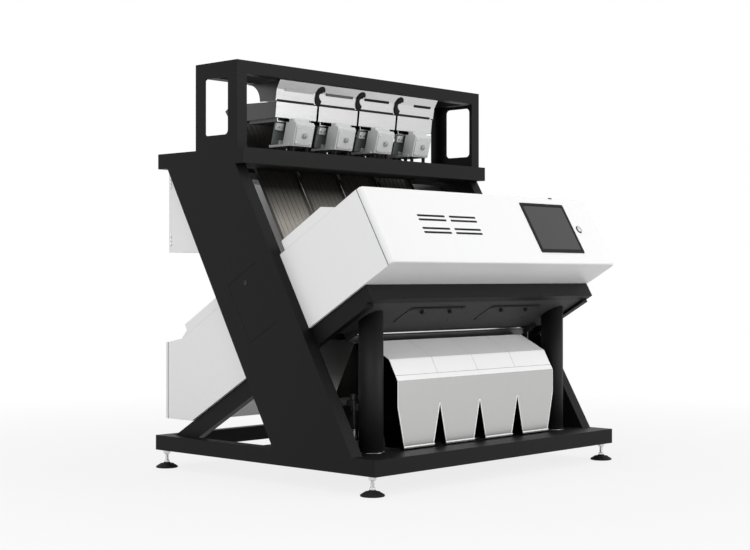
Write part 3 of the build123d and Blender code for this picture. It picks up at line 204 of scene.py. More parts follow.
def finish(name, color, roughness, spread=0.05, metallic=0.0, specular=0.5, grain=(60.0, 60.0, 60.0),
           grain_depth=0.0002, tint=0.06, edge=None, edge_radius=0.0015, end_shade_color=None,
           top_shade_color=None, top_shade_from=0.0, top_shade_to=1.0):
    """One finish. Noise on Object coordinates, stretched by grain, varies roughness and colour, and finer
    noise makes the bump. The edge colour is a painted highlight: it takes over where the rounded normal
    leaves the true one. The end colour is painted shade: it takes over on faces that look to the machine's
    left or right. The top shade colour is painted shade too: it grows with the height between two levels."""
    material = bpy.data.materials.new(name)
    material.use_nodes = True
    tree = material.node_tree
    shader = tree.nodes["Principled BSDF"]
    shader.inputs["Metallic"].default_value = metallic
    shader.inputs["Specular IOR Level"].default_value = specular
    place = new_node(tree, "ShaderNodeTexCoord")
    stretch = new_node(tree, "ShaderNodeMapping")
    stretch.inputs["Scale"].default_value = grain
    link_in(tree, place.outputs["Object"], stretch.inputs["Vector"])
    clouds = new_node(tree, "ShaderNodeTexNoise", Scale=CLOUD_SCALE, Detail=4.0)
    link_in(tree, stretch.outputs["Vector"], clouds.inputs["Vector"])
    fine = new_node(tree, "ShaderNodeTexNoise", Scale=FINE_SCALE, Detail=3.0)
    link_in(tree, stretch.outputs["Vector"], fine.inputs["Vector"])
    rough = carried(tree, clouds.outputs["Fac"], 0.0, 1.0, max(roughness - spread, LEAST_ROUGHNESS),
                    roughness + spread)
    link_in(tree, rough, shader.inputs["Roughness"])
    darker = tuple(c * (1 - tint) for c in color)
    lighter = tuple(min(c * (1 + tint), 1) for c in color)
    color_out = mixed(tree, clouds.outputs["Fac"], darker, lighter)
    # Painted shade: the colour darkens towards the top shade colour between two heights.
    if top_shade_color:
        parts = new_node(tree, "ShaderNodeSeparateXYZ")
        link_in(tree, place.outputs["Object"], parts.inputs[0])
        height = carried(tree, parts.outputs["Z"], top_shade_from, top_shade_to)
        color_out = mixed(tree, height, color_out, top_shade_color)
    # Painted shade: faces that look left or right take the darker end colour, which stands in for the dark
    # reflections on those faces.
    elif end_shade_color:
        parts = new_node(tree, "ShaderNodeSeparateXYZ")
        link_in(tree, place.outputs["Normal"], parts.inputs[0])
        sideways = new_node(tree, "ShaderNodeMath", operation="ABSOLUTE")
        link_in(tree, parts.outputs["X"], sideways.inputs[0])
        end_shade_share = carried(tree, sideways.outputs[0], END_SHADE_FROM, END_SHADE_TO)
        color_out = mixed(tree, end_shade_share, color_out, end_shade_color)
    rounded = new_node(tree, "ShaderNodeBevel", samples=4)
    rounded.inputs["Radius"].default_value = edge_radius
    # Painted highlight: the edge colour, lighter than the base colour, takes over where the rounded normal
    # leaves the true one.
    if edge:
        true_normal = new_node(tree, "ShaderNodeNewGeometry")
        gap = new_node(tree, "ShaderNodeVectorMath", operation="DOT_PRODUCT")
        link_in(tree, rounded.outputs["Normal"], gap.inputs[0])
        link_in(tree, true_normal.outputs["Normal"], gap.inputs[1])
        edge_highlight_share = carried(tree, gap.outputs["Value"], EDGE_HIGHLIGHT_FROM, EDGE_HIGHLIGHT_TO)
        color_out = mixed(tree, edge_highlight_share, color_out, edge)
    link_in(tree, color_out, shader.inputs["Base Color"])
    bump = new_node(tree, "ShaderNodeBump", Strength=0.5, Distance=grain_depth)
    link_in(tree, fine.outputs["Fac"], bump.inputs["Height"])
    link_in(tree, rounded.outputs["Normal"], bump.inputs["Normal"])
    link_in(tree, bump.outputs["Normal"], shader.inputs["Normal"])
    return material


# Painted highlight: the edge colours of the black coat and the chamber panel are lighter than their base
# colours.
black_coat = finish("black powder coat", (0.0048, 0.0048, 0.0053), 0.5, specular=0.13,
                    edge=(0.015, 0.015, 0.016))
panel_coat = finish("black chamber panel", (0.034, 0.034, 0.035), 0.6, specular=0.2, edge=(0.05, 0.05, 0.05))
post_coat = finish("black post coat", (0.0095, 0.0095, 0.010), 0.62, specular=0.2)
white_coat = finish("white powder coat", (0.86, 0.86, 0.865), 0.36, tint=0.012, grain=(40, 40, 40),
                    grain_depth=0.00012)
# Painted shade: the faces of this sheet that look left or right are near black, which stands in for the
# shaded sides of the spouts.
stainless = finish("rolled stainless sheet", (0.50, 0.50, 0.49), 0.24, spread=0.06, metallic=1.0,
                   grain=(220, 14, 3), grain_depth=0.00004, tint=0.03, end_shade_color=(0.035, 0.035, 0.035))
# Painted reflection: the end faces of the hopper and the trays are dark grey, as if they reflected the dark
# frame.
polished = finish("polished stainless", (0.60, 0.60, 0.60), 0.25, spread=0.04, metallic=1.0,
                  grain=(8, 120, 120), grain_depth=0.00001, tint=0.03, end_shade_color=(0.085, 0.085, 0.087))
rear_sheet = finish("dull stainless sheet", (0.42, 0.42, 0.41), 0.42, spread=0.06, metallic=1.0,
                    grain=(14, 14, 160), grain_depth=0.00004, tint=0.03)
plated = finish("bright zinc plate", (0.62, 0.62, 0.63), 0.26, spread=0.08, metallic=1.0)
stud_steel = finish("zinc plated stud", (0.66, 0.66, 0.67), 0.34, spread=0.08, metallic=1.0)
rubber = finish("black rubber", (0.008, 0.008, 0.008), 0.7, specular=0.2, grain=(300, 300, 300))
black_plastic = finish("black plastic", (0.010, 0.010, 0.0105), 0.45, specular=0.3, grain=(200, 200, 200))
grey_plastic = finish("grey plastic", (0.16, 0.16, 0.165), 0.4, grain=(200, 200, 200))
dark_casting = finish("dark regulator paint", (0.030, 0.030, 0.032), 0.42, grain=(90, 90, 90))
# Painted highlight: the edge colour lightens the casting paint along its rounded edges.
casting_paint = finish("light grey casting paint", (0.62, 0.63, 0.63), 0.42, grain=(90, 90, 90),
                       edge=(0.8, 0.8, 0.8), edge_radius=0.003, tint=0.03)
# Painted reflection: this dark steel darkens the bend band of the second feeder; the splitter wears it as
# well.
bead_steel = finish("shaded steel bead", (0.10, 0.10, 0.10), 0.3, metallic=0.8, grain=(9, 120, 120), tint=0.5)
# Painted highlight: the edge colour lightens the cover plates along their rounded edges.
cover_paint = finish("cover plate paint", (0.58, 0.585, 0.585), 0.36, grain=(90, 90, 90),
                     edge=(0.7, 0.7, 0.7), edge_radius=0.002, tint=0.02)
spring_laminate = finish("glass fibre laminate", (0.15, 0.175, 0.16), 0.34, grain=(20, 200, 900), tint=0.2)
anodised = finish("anodised aluminium", (0.55, 0.55, 0.55), 0.34, metallic=1.0, grain=(10, 200, 200))
# Painted shade: the chutes darken from beige at 1.18 m to dark brown at 1.36 m, which stands in for the shade
# under the feeder trays.
chute_coat = finish("hard anodised chute", (0.46, 0.43, 0.385), 0.38, metallic=0.2, grain=(260, 8, 8),
                    grain_depth=0.0001, top_shade_color=(0.022, 0.020, 0.018), top_shade_from=1.18, top_shade_to=1.36)
bezel_black = finish("screen bezel", (0.006, 0.006, 0.0062), 0.5, specular=0.12, grain=(200, 200, 200))
display = finish("display glass", (0.036, 0.036, 0.038), 0.16, spread=0.02, tint=0.02, specular=0.28,
                 grain=(6, 6, 6), grain_depth=0.00001)
glass = finish("window glass", (0.9, 0.95, 0.95), 0.04, spread=0.01, grain=(5, 5, 5), grain_depth=0.00001)
glass_inputs = glass.node_tree.nodes["Principled BSDF"].inputs
glass_inputs["Transmission Weight"].default_value = 1.0
glass_inputs["IOR"].default_value = 1.5
# Painted light: the spout cover sheet is a near-white, almost matt copy of the stainless, which stands in for
# the bright reflection on the slope.
lit_slope_sheet = finish("spout slope sheet", (0.93, 0.93, 0.93), 0.42, spread=0.05, metallic=0.1,
                     grain=(220, 14, 3), grain_depth=0.00003, tint=0.015)
highlight_trim = finish("sheet edge highlight", (0.88, 0.88, 0.88), 0.18, spread=0.05, metallic=0.9, tint=0.02)
knob_grey = finish("knob plastic", (0.33, 0.335, 0.335), 0.34, grain=(200, 200, 200))
diffuser_white = finish("lamp cover", (0.80, 0.82, 0.84), 0.5, grain=(80, 80, 80))

SLOT_FINISH = {
    "black_frame": black_coat, "white_panel": white_coat, "stainless": stainless, "bright_steel": plated,
    "foot_rubber": rubber, "cabinet_steel": anodised, "black_plastic": black_plastic,
    "wiper_plastic": grey_plastic, "screen_glass": bezel_black, "grey_casting": casting_paint,
    "spring_laminate": spring_laminate, "window_glass": glass, "lamp_aluminium": anodised,
    "chute_aluminium": chute_coat,
}
NODE_FINISH = {
    "vibrator_covers": cover_paint, "inlet_hopper": polished, "splitter": bead_steel,
    **{f"feeder_tray_{i}": polished for i in range(1, 5)},
    **{f"vibrator_knob_{i}": grey_plastic for i in range(1, 5)},
    "feeder_base_plates": casting_paint, "chamber_floor": panel_coat, "sample_hatches": panel_coat,
    "support_posts": post_coat, "air_regulator": dark_casting, "rear_outlet_hopper": rear_sheet,
}
for entry in frame["record"]["subparts"]:
    name = entry["node"]
    chosen = NODE_FINISH.get(name, SLOT_FINISH[entry["material_slot"]])
    mesh = nodes[name].data
    mesh.materials.clear()
    mesh.materials.append(chosen)

# Bars, plates, threads and heads, as closed surfaces


def ended(rings):
    """A closed surface of rings, each end gathered to its ring's middle."""
    first, last = rings[0].mean(axis=0), rings[-1].mean(axis=0)
    count = rings.shape[1]
    starting, ending = np.tile(first, (1, count, 1)), np.tile(last, (1, count, 1))
    return grid(np.concatenate([starting, rings, ending]), wrap=True)


def unit(vectors):
    """Each row of vectors at a length of one."""
    return vectors / np.linalg.norm(vectors, axis=1, keepdims=True)


def strap(path, across, width, thickness, rim=0.0004):
    """A flat bar carried along a path: at each point, a rectangle with cut corners, as wide as width across
    the path and standing thickness out of the surface that the path lies on."""
    path = np.array(path, float)
    side = np.broadcast_to(np.array(across, float), path.shape)
    out = unit(np.cross(unit(np.gradient(path, axis=0)), side))
    half, top = width / 2, thickness
    sideways = np.array([rim - half, half - rim, half, half, half - rim, rim - half, -half, -half])
    upwards = np.array([0, 0, rim, top - rim, top, top, top - rim, rim])
    to_side = sideways[None, :, None] * side[:, None]
    to_top = upwards[None, :, None] * out[:, None]
    return ended(path[:, None] + to_side + to_top)


def prism(outline, low, high, rim=0.0006):
    """A closed plate on the local z axis: its outline shrinks by the rim at both faces. The outline is pulled
    towards its middle, so it suits outlines without deep hollows."""
    outline = np.array(outline, float)
    middle = outline.mean(axis=0)
    spread = np.linalg.norm(outline - middle, axis=1, keepdims=True)
    small = middle + (outline - middle) * (1 - rim / spread)
    rings = [np.column_stack([ring, np.full(len(outline), level)])
             for ring, level in ((small, low), (outline, low + rim), (outline, high - rim), (small, high))]
    return ended(np.array(rings))


def rounded_outline(width, height, radius, steps=6):
    """A rectangle's outline with quarter-circle corners, walked once round."""
    turn = np.linspace(0, math.pi / 2, steps)
    corners = [((width / 2 - radius) * sx, (height / 2 - radius) * sy, start)
               for sx, sy, start in ((1, 1, 0), (-1, 1, 1), (-1, -1, 2), (1, -1, 3))]
    return np.concatenate([np.column_stack([x + radius * np.cos(turn + start * math.pi / 2),
                                            y + radius * np.sin(turn + start * math.pi / 2)])
                           for x, y, start in corners])


def thread(radius, depth, pitch, low, high, segments=24, steps=6):
    """A screw thread: the radius falls and rises as a sharp wave of the height over the pitch less the turn,
    and fades out over the first and last pitch."""
    height = np.linspace(low, high, int((high - low) / pitch * steps))[:, None]
    angle = np.linspace(0, 2 * math.pi, segments, endpoint=False)[None, :]
    wave = np.abs(((height / pitch - angle / (2 * math.pi)) % 1.0) * 2 - 1)
    fade = np.clip(np.minimum(height - low, high - height) / pitch, 0, 1)
    reach = radius - depth * wave * fade
    rings = np.stack([reach * np.cos(angle), reach * np.sin(angle), height + 0 * angle], axis=-1)
    return ended(rings)


def hexagon(across_flats, low, high, segments=48, turn=0.0):
    """A nut or bolt head: at each angle the hexagon's own distance, and at both faces a circle just inside
    the flats, joined to it by a chamfer."""
    angle = np.linspace(0, 2 * math.pi, segments, endpoint=False)
    flat = across_flats / 2
    chamfer = 0.07 * across_flats
    at_face, past_corners = 0.97 * flat, 1.2 * flat
    reach = flat / np.cos((angle + math.pi / 6) % (math.pi / 3) - math.pi / 6)
    rings = []
    for level, limit in ((low, at_face), (low + chamfer, past_corners), (high - chamfer, past_corners),
                         (high, at_face)):
        ring = np.minimum(reach, limit)
        rings.append(np.column_stack([ring * np.cos(angle + turn), ring * np.sin(angle + turn),
                                      np.full(segments, level)]))
    return ended(np.array(rings))


def screw_head(radius, height, slot=0.35):
    """A domed screw head with a round socket: height rises as a quarter of an ellipse towards the
    middle, then drops straight into the socket."""
    turn = np.linspace(0, math.pi / 2, 6)
    rim = [(radius * math.cos(t) * (1 - slot) + radius * slot, height * math.sin(t)) for t in turn]
    sunk, bottom = -0.001, height * 0.35
    return turned([(0.0, sunk), (radius, sunk), *rim, (radius * slot, bottom), (0.0, bottom)], 18)


def copies(surface, places, across=ACROSS, along=BACK, out=UP):
    """The same surface set at several places."""
    return gathered(*[set_in(surface, np.array(place, float), across, along, out) for place in places])


# Feet, posts and the floor sheet of the base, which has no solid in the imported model

foot_places = [side_point(x, back, 0) for x in (-FOOT_X, FOOT_X)
               for back in (FOOT_INSET, BASE_DEPTH - FOOT_INSET)]
pad_profile = [(0, 0), (0.0495, 0), (0.0515, 0.0006), (0.0525, 0.002), (0.0525, 0.0062), (0.0518, 0.0076),
               (0.0498, 0.0086), (0.0490, 0.0086), (0.0480, 0.0100), (0.0455, 0.0112), (0.0447, 0.0112),
               (0.0437, 0.0126), (0.0412, 0.0138), (0.0404, 0.0138), (0.0394, 0.0152), (0.0360, 0.0166),
               (0.0345, 0.0180), (0.0325, 0.0198), (0.0300, 0.0205), (0.0170, 0.0212), (0.0160, 0.0222),
               (0.0156, 0.0252), (0.0146, 0.0262), (0, 0.0262)]
pads = piece("rubber_pads", copies(turned(pad_profile, 72), foot_places), "frame", rubber)
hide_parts("foot_pads")

studs = gathered(thread(0.008, 0.0009, 0.002, 0.024, 0.101), hexagon(0.0230, 0.0260, 0.0370, turn=0.4),
                 hexagon(0.0300, 0.0675, 0.0849))
studs = piece("threaded_studs", copies(studs, foot_places), "frame", stud_steel, smooth=False)
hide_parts("levelling_screws")


def post(x, wall=0.005, below_head=0.0722, segments=96):
    """A round tube between the deck and the leaning floor: every point of its rim goes up to the leaning
    plane that lies a given distance below the head's foot."""
    angle = np.linspace(0, 2 * math.pi, segments, endpoint=False)
    inside = POST_RADIUS - wall
    section = ((POST_RADIUS, 0.0), (POST_RADIUS, 1.0), (inside, 1.0), (inside, 0.0), (POST_RADIUS, 0.0))
    rings = []
    for reach, part in section:
        across, back = x + reach * np.cos(angle), POST_BACK + reach * np.sin(angle)
        lean_height = HEAD_HEIGHT + (HEAD_BACK - back) * SIN / COS - below_head / COS
        rings.append(np.column_stack([across, back - MIDDLE, DECK_TOP + part * (lean_height - DECK_TOP)]))
    return grid(np.array(rings), wrap=True)


posts = piece("post_tubes", gathered(post(-POST_X), post(POST_X)), "frame", post_coat)
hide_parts("support_posts")
collar = turned([(0.0553, 0), (0.0598, 0), (0.0606, 0.0004), (0.0606, 0.0012), (0.0598, 0.0016),
                 (0.0553, 0.0016), (0.0553, 0)], 96)
collar_places = [side_point(x, POST_BACK, DECK_TOP + 0.0002) for x in (-POST_X, POST_X)]
piece("post_collars", copies(collar, collar_places), "frame", plated)

floor_middle = side_point(0, 0.53775, 0.1500)
floor_sheet = set_in(prism(rounded_outline(1.619, 0.4945, 0.001), 0.0, 0.002), floor_middle, ACROSS, BACK, UP)
piece("base_floor_sheet", floor_sheet, "frame", black_coat, smooth=False)

# Outlet spouts: the folded cover sheet above the bend, painted bright, and the edge seams and the rolled hem,
# painted as highlights

SPOUT_FACE = 0.148
SPOUT_WIDTH, MOUTH_WIDTH = 0.284, 0.206
apron = [(0.1486, 0.4650), (0.1549, 0.4763), (0.1604, 0.4861)]
fold = [(0.1615, 0.4881), (0.1796, 0.5205), (0.1975, 0.5525), (0.2003, 0.5570), (0.2052, 0.5597),
        (0.2450, 0.5798), (0.2950, 0.6051), (0.3450, 0.6305)]
# Painted highlight: the seam strips and the rolled hem are near-white bright steel, which stands in for the
# bright lines along the spouts' edges and mouths.
upright_seam_sides = {1: [-1], 4: [1]}
for number, x in enumerate(UNIT_X, start=1):
    sheet = gathered(
        strap([side_point(x, *pair) for pair in fold], -ACROSS, SPOUT_WIDTH, TRIM_THICKNESS),
        strap([side_point(x, *pair) for pair in apron], -ACROSS, SPOUT_WIDTH + 0.0015, TRIM_THICKNESS))
    seams = []
    for side in upright_seam_sides.get(number, []):
        edge = [side_point(x + side * 0.1415, SPOUT_FACE, level) for level in (0.352, 0.4625)]
        seams.append(strap(edge, -ACROSS, 0.004, TRIM_THICKNESS))
    for side in (-1, 1):
        edge = [side_point(x + side * reach, SPOUT_FACE, level)
                for reach, level in ((0.0988, 0.1745), (0.1405, 0.3520))]
        seams.append(strap(edge, -ACROSS, 0.005, TRIM_THICKNESS))
    rolled = [side_point(x, 0.146 - 0.0012 * math.sin(turn), 0.1685 - 0.0055 * math.cos(turn))
              for turn in np.linspace(0.15, math.pi - 0.15, 9)]
    hem = strap(rolled, -ACROSS, MOUTH_WIDTH, 0.0008, rim=0.0002)
    piece(f"spout_cover_{number}", sheet, "frame", lit_slope_sheet, smooth=False)
    piece(f"spout_seams_{number}", gathered(*seams, hem), "frame", highlight_trim, smooth=False)

# Feeders: caps, covers, knobs and spring clamps; the clips on the hopper

TILT = math.radians(15)
FEEDER_OUT = np.array([0.0, -math.cos(TILT), -math.sin(TILT)])
FEEDER_UP = np.array([0.0, -math.sin(TILT), math.cos(TILT)])
HOUSING_FACE, HOUSING_FOOT = 0.9, 1.549
COVER_THICKNESS = 0.0048


def feeder_point(x, depth, level):
    """A point of a feeder drive, from its depth behind the housing's face and its level above the foot."""
    return side_point(x, HOUSING_FACE + depth - level * math.tan(TILT), HOUSING_FOOT + level)


def on_feeder(surface, places):
    """The same surface set at several places of the feeders, standing out of their tilted fronts."""
    return copies(surface, places, ACROSS, FEEDER_UP, FEEDER_OUT)


cap_places = [side_point(x, 0.9165, 1.6642) for x in UNIT_X]
top_cap = prism(rounded_outline(0.106, 0.037, 0.006), 0.0001, 0.0165, rim=0.0012)
piece("vibrator_top_caps", copies(top_cap, cap_places), "frame", casting_paint, smooth=False)
cover_middles = [feeder_point(x, 0.0, 0.0516) for x in UNIT_X]
cover_plate = gathered(prism(rounded_outline(0.110, 0.0925, 0.007), 0.0002, COVER_THICKNESS, rim=0.0009),
                       prism(rounded_outline(0.030, 0.030, 0.0149), 0.0046, 0.0054, rim=0.0005))
covers = piece("vibrator_cover_plates", on_feeder(cover_plate, cover_middles), "frame",
               cover_paint, smooth=False)
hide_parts("vibrator_covers")
corner_screws = [middle + sx * 0.0455 * ACROSS + sy * 0.037 * FEEDER_UP + COVER_THICKNESS * FEEDER_OUT
                 for middle in cover_middles for sx in (-1, 1) for sy in (-1, 1)]
piece("vibrator_cover_screws", on_feeder(screw_head(0.0046, 0.0026), corner_screws), "frame",
      plated)


def star_knob(radius=0.0125, lobes=5, height=0.0095, segments=60, swell=0.13):
    """A lobed knob: the radius swells with the cosine of lobes times the angle, less so where it is small."""
    angle = np.linspace(0, 2 * math.pi, segments, endpoint=False)
    shape = ((0.55, 0.0), (0.9, 0.0), (0.98, 0.05), (1.0, 0.15), (1.0, 0.8), (0.97, 0.9), (0.9, 0.97),
             (0.78, 1.0), (0.45, 1.0), (0.42, 1.12), (0.3, 1.2), (0.1, 1.22))
    rings = []
    for reach, level in shape:
        ring = radius * reach * (1 + swell * reach ** 2 * np.cos(lobes * angle))
        rings.append(np.column_stack([ring * np.cos(angle), ring * np.sin(angle),
                                      np.full(segments, level * height)]))
    return ended(np.array(rings))


for number, middle in enumerate(cover_middles, start=1):
    knob = piece(f"star_knob_{number}", on_feeder(star_knob(), [middle + 0.0056 * FEEDER_OUT]),
                 f"vibrator_knob_{number}", knob_grey)
    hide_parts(f"vibrator_knob_{number}")

SPRING_FACE = 0.100
CLAMP_THICKNESS = 0.013
clamp = prism(rounded_outline(0.044, 0.034, 0.003), 0.0002, CLAMP_THICKNESS, rim=0.0008)
clamp_places = [feeder_point(x + side * 0.084, SPRING_FACE, 0.0955) for x in UNIT_X for side in (-1, 1)]
piece("spring_clamps", on_feeder(clamp, clamp_places), "frame", casting_paint, smooth=False)
bolt_places = [place + dx * ACROSS + CLAMP_THICKNESS * FEEDER_OUT for place in clamp_places
               for dx in (-0.012, 0.012)]
washer = turned([(0, 0), (0.0066, 0), (0.0066, 0.0008), (0, 0.0008)], 20)
clamp_bolt = gathered(hexagon(0.010, 0.0, 0.0042, 24), washer)
piece("spring_clamp_bolts", on_feeder(clamp_bolt, bolt_places), "frame", plated, smooth=False)
foot_clamp = prism(rounded_outline(0.132, 0.018, 0.002), 0.0002, 0.010, rim=0.0008)
foot_clamp_places = [feeder_point(x, SPRING_FACE, 0.0225) for x in UNIT_X]
piece("spring_foot_clamps", on_feeder(foot_clamp, foot_clamp_places), "frame", casting_paint,
      smooth=False)


BEND_BACK, BEND_LEVEL, BEND_SOFTNESS = 0.922, 1.817, 0.006
CLIP_POINTS = 40


def hopper_face(height):
    """The hopper's outer face as side pairs: straight above and below its bend, rounded off between them by
    a root of the height's square."""
    soft = np.sqrt(height ** 2 + BEND_SOFTNESS ** 2)
    above, below = (soft + height) / 2, (soft - height) / 2
    return BEND_BACK - 0.52 * above + 0.16 * below, BEND_LEVEL + 0.854 * above - 0.987 * below


def crescent(x):
    """A black strap clip: a bar follows an arc on the hopper's face. Its half width starts narrow, grows
    evenly over the first 16 % of the arc, and then loses a bell curve whose deepest point, the waist, is
    at 55 %."""
    turn = np.linspace(math.radians(48), math.radians(266), CLIP_POINTS)
    back, level = hopper_face(0.035 * np.sin(turn) - 0.013)
    path = np.column_stack([x + 0.008 + 0.024 * np.cos(turn), back - MIDDLE, level])
    share = np.linspace(0, 1, CLIP_POINTS)
    half_width = (0.0015 + 0.0145 * np.minimum(share / 0.16, 1)
                  - 0.0075 * np.exp(-((share - 0.55) / 0.16) ** 2))
    out = np.array([0.0, -0.93, -0.36])
    side = unit(np.cross(out, unit(np.gradient(path, axis=0))))
    corners = np.array([[1, 0.0], [1, 0.0062], [0.8, 0.007], [-0.8, 0.007], [-1, 0.0062], [-1, 0.0]])
    rings = (path[:, None] + corners[None, :, :1] * (half_width[:, None, None] * side[:, None])
             + corners[None, :, 1:] * out)
    return ended(rings)


clips = piece("hopper_strap_clips", gathered(*[crescent(x) for x in (-PITCH, 0.0, PITCH)]), "frame",
              black_coat, smooth=False)
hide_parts("hopper_clips")

# Black strips as painted shade in the gap between hopper and trays, dark bands as painted reflection along
# the hopper's bend, caps on the head beam

# Painted shade: black rubber strips darken the gap between the hopper's foot and the trays.
gap_shade_strips = [strap([side_point(x + reach, 0.9302, 1.7632) for reach in (-0.134, 0.112)], UP, 0.0105,
               TRIM_THICKNESS) for x in UNIT_X]
piece("hopper_gap_shade_strips", gathered(*gap_shade_strips), "frame", rubber, smooth=False)
# Painted reflection: a dark band along each hopper's bend, in a different finish for each unit, which stands
# in for the dark things reflected there.
bend_reflection_bands = ((-0.09, 0.10, rear_sheet), (-0.10, 0.09, bead_steel), (-0.11, 0.07, black_coat),
              (-0.02, 0.11, black_coat))
bend_back, bend_level = hopper_face(0.0)
bend_across = np.array([0.0, -0.37, 0.93])
for number, (x, (start, end, steel)) in enumerate(zip(UNIT_X, bend_reflection_bands), start=1):
    ends = [side_point(x + reach, bend_back - 0.0004, bend_level) for reach in (start, end)]
    reflection_band = strap(ends, bend_across, 0.013, TRIM_THICKNESS)
    piece(f"hopper_bend_reflection_band_{number}", reflection_band, "frame", steel, smooth=False)
beam_cap = prism(rounded_outline(0.072, 0.040, 0.002), 0.0, 0.0015, rim=0.0004)
caps = [set_in(beam_cap, head_point(side * 0.8101, 0.366, -0.036), side * UPWARD, FORWARD, side * ACROSS)
        for side in (-1, 1)]
piece("head_beam_caps", gathered(*caps), "frame", black_coat, smooth=False)

# Front door: display, lock, black plates as painted shade in the vent slots, finger tab and the black lips of
# the seams

KEY_X, KEY_LEVEL = 0.650, 0.197


def on_door(surface, places):
    """The same surface set at several places of the leaning head, facing forward."""
    return copies(surface, [head_point(*place) for place in places], ACROSS, UPWARD, FORWARD)


display_plate = prism(rounded_outline(0.312, 0.240, 0.0015), 0.0001, 0.0007, rim=0.0002)
piece("display_glass", on_door(display_plate, [(0.428, 0.579, 0.198)]), "front_door", display,
      smooth=False)
ring_profile = [(0.0164, 0.0003), (0.0200, 0.0003), (0.0203, 0.0008), (0.0198, 0.0019), (0.0184, 0.0027),
                (0.0168, 0.0029), (0.0164, 0.0026), (0.0164, 0.0003)]
piece("door_lock_ring", on_door(turned(ring_profile, 56), [(KEY_X, DOOR_FACE, KEY_LEVEL)]), "front_door",
      black_plastic)
key_face = turned([(0.0128, 0.0), (0.0128, 0.0007), (0.0122, 0.0011), (0.0030, 0.0011), (0.0, 0.0011)], 40)
piece("door_lock_face", on_door(key_face, [(KEY_X, 0.5834, KEY_LEVEL)]), "door_lock", plated)
# Painted shade: black plates in the vent slots, flush with the door face, make the slots look shaded.
vent_places = [(x, DOOR_FACE - 0.0005, level) for x in (-0.444, -0.228)
               for level in (0.152, 0.173, 0.217, 0.238)]
vent_shade_plate = prism(rounded_outline(0.1866, 0.0104, 0.0050), 0.0, 0.0009, rim=0.0002)
piece("vent_shade_plates", on_door(vent_shade_plate, vent_places), "front_door", rubber, smooth=False)
finger_tab = prism(rounded_outline(0.030, 0.0060, 0.0025), 0.0, 0.0018, rim=0.0006)
piece("door_finger_tab", on_door(finger_tab, [(0.527, DOOR_FACE, 0.3716)]), "front_door",
      black_plastic)


LIP_WIDTH, LIP_HEIGHT, LIP_RIM = 0.003, 0.0005, 0.0001


def lip(corners, across):
    """A thin black lip round a rectangle: one straight bar between each two corners, wide along the direction
    across and standing off the panels by its height."""
    corners = [np.array(corner, float) for corner in corners]
    return gathered(*[strap([start, (start + end) / 2, end], across, LIP_WIDTH, LIP_HEIGHT, rim=LIP_RIM)
                      for start, end in zip(corners, corners[1:] + corners[:1])])


lip_x = BOX_HALF_WIDTH + LIP_RIM
front_seam, rear_seam = 0.5481, 1.4243
front_lips = [strap([head_point(x, front_seam, level) for level in levels], FORWARD, LIP_WIDTH, LIP_HEIGHT,
                    rim=LIP_RIM)
              for x, levels in ((-lip_x, (0.375, 0.0)), (lip_x, (0.0, 0.375)))]
piece("front_door_gasket", gathered(*front_lips), "frame", rubber, smooth=False)
rear_corners = ((lip_x, 0.6051), (lip_x, 0.2349), (-lip_x, 0.2349), (-lip_x, 0.6051))
rear_lip = lip([side_point(x, rear_seam, level) for x, level in rear_corners], BACK)
piece("rear_door_gasket", rear_lip, "frame", rubber, smooth=False)

# Rear doors: louvres, locks, pull handles and hinge barrels


def on_rear(surface, places):
    """The same surface set at several places of the rear side, facing back."""
    return copies(surface, [side_point(*place) for place in places], -ACROSS, UP, BACK)


def louvre(length=0.15, height=0.012, depth=0.006):
    """A pressed hood: it swells with the square root of the way down, stops in a sharp lip and fades to
    nothing at both ends as the eighth power of the distance from the middle."""
    down = np.array([0.0, 0.03, 0.12, 0.28, 0.5, 0.75, 1.0, 1.0])[:, None]
    along = np.linspace(-1, 1, 25)[None, :]
    swell = depth * np.sqrt(down) * (1 - along ** 8)
    swell[-1] = 0.0
    points = np.stack([along * length / 2 + 0 * down, height * (0.5 - down) + 0 * along, swell + 0.0001],
                      axis=-1)
    return grid(points, flip=True)


LOUVRE_STEP = 0.02
louvre_rows = [(x, REAR_DOOR_FACE, 0.46 + LOUVRE_STEP * row) for x in (-0.45, -0.27, 0.27, 0.45)
               for row in range(5)]
piece("rear_door_louvres", on_rear(louvre(), louvre_rows), "rear_door", white_coat)
quarter_turn = turned([(0.0, 0.0001), (0.0125, 0.0001), (0.0132, 0.0008), (0.0128, 0.0022),
                       (0.0112, 0.0030), (0.0100, 0.0026), (0.0092, 0.0016), (0.0030, 0.0016),
                       (0.0026, 0.0006), (0.0, 0.0006)], 40)
lock_places = [(x, REAR_DOOR_FACE, 0.272) for x in (-0.62, 0.0, 0.62)]
piece("rear_door_locks", on_rear(quarter_turn, lock_places), "rear_door", plated)


def pull_handle(length=0.112, rise=0.030, radius=0.0048):
    """A bent round bar: its path leaves the panel, turns through two corners and comes back, as a flattened
    arch of the sixth power, and a circle is carried along it."""
    share = np.linspace(-1, 1, 61)
    away = length / 2 * np.sign(share) * np.abs(share) ** 0.55
    path = np.stack([0 * share, away, rise * (1 - share ** 6)], -1)
    out = np.cross(unit(np.gradient(path, axis=0)), ACROSS)
    angle = np.linspace(0, 2 * math.pi, 20, endpoint=False)
    rings = (path[:, None] + radius * np.cos(angle)[None, :, None] * ACROSS
             + radius * np.sin(angle)[None, :, None] * out[:, None])
    return ended(rings)


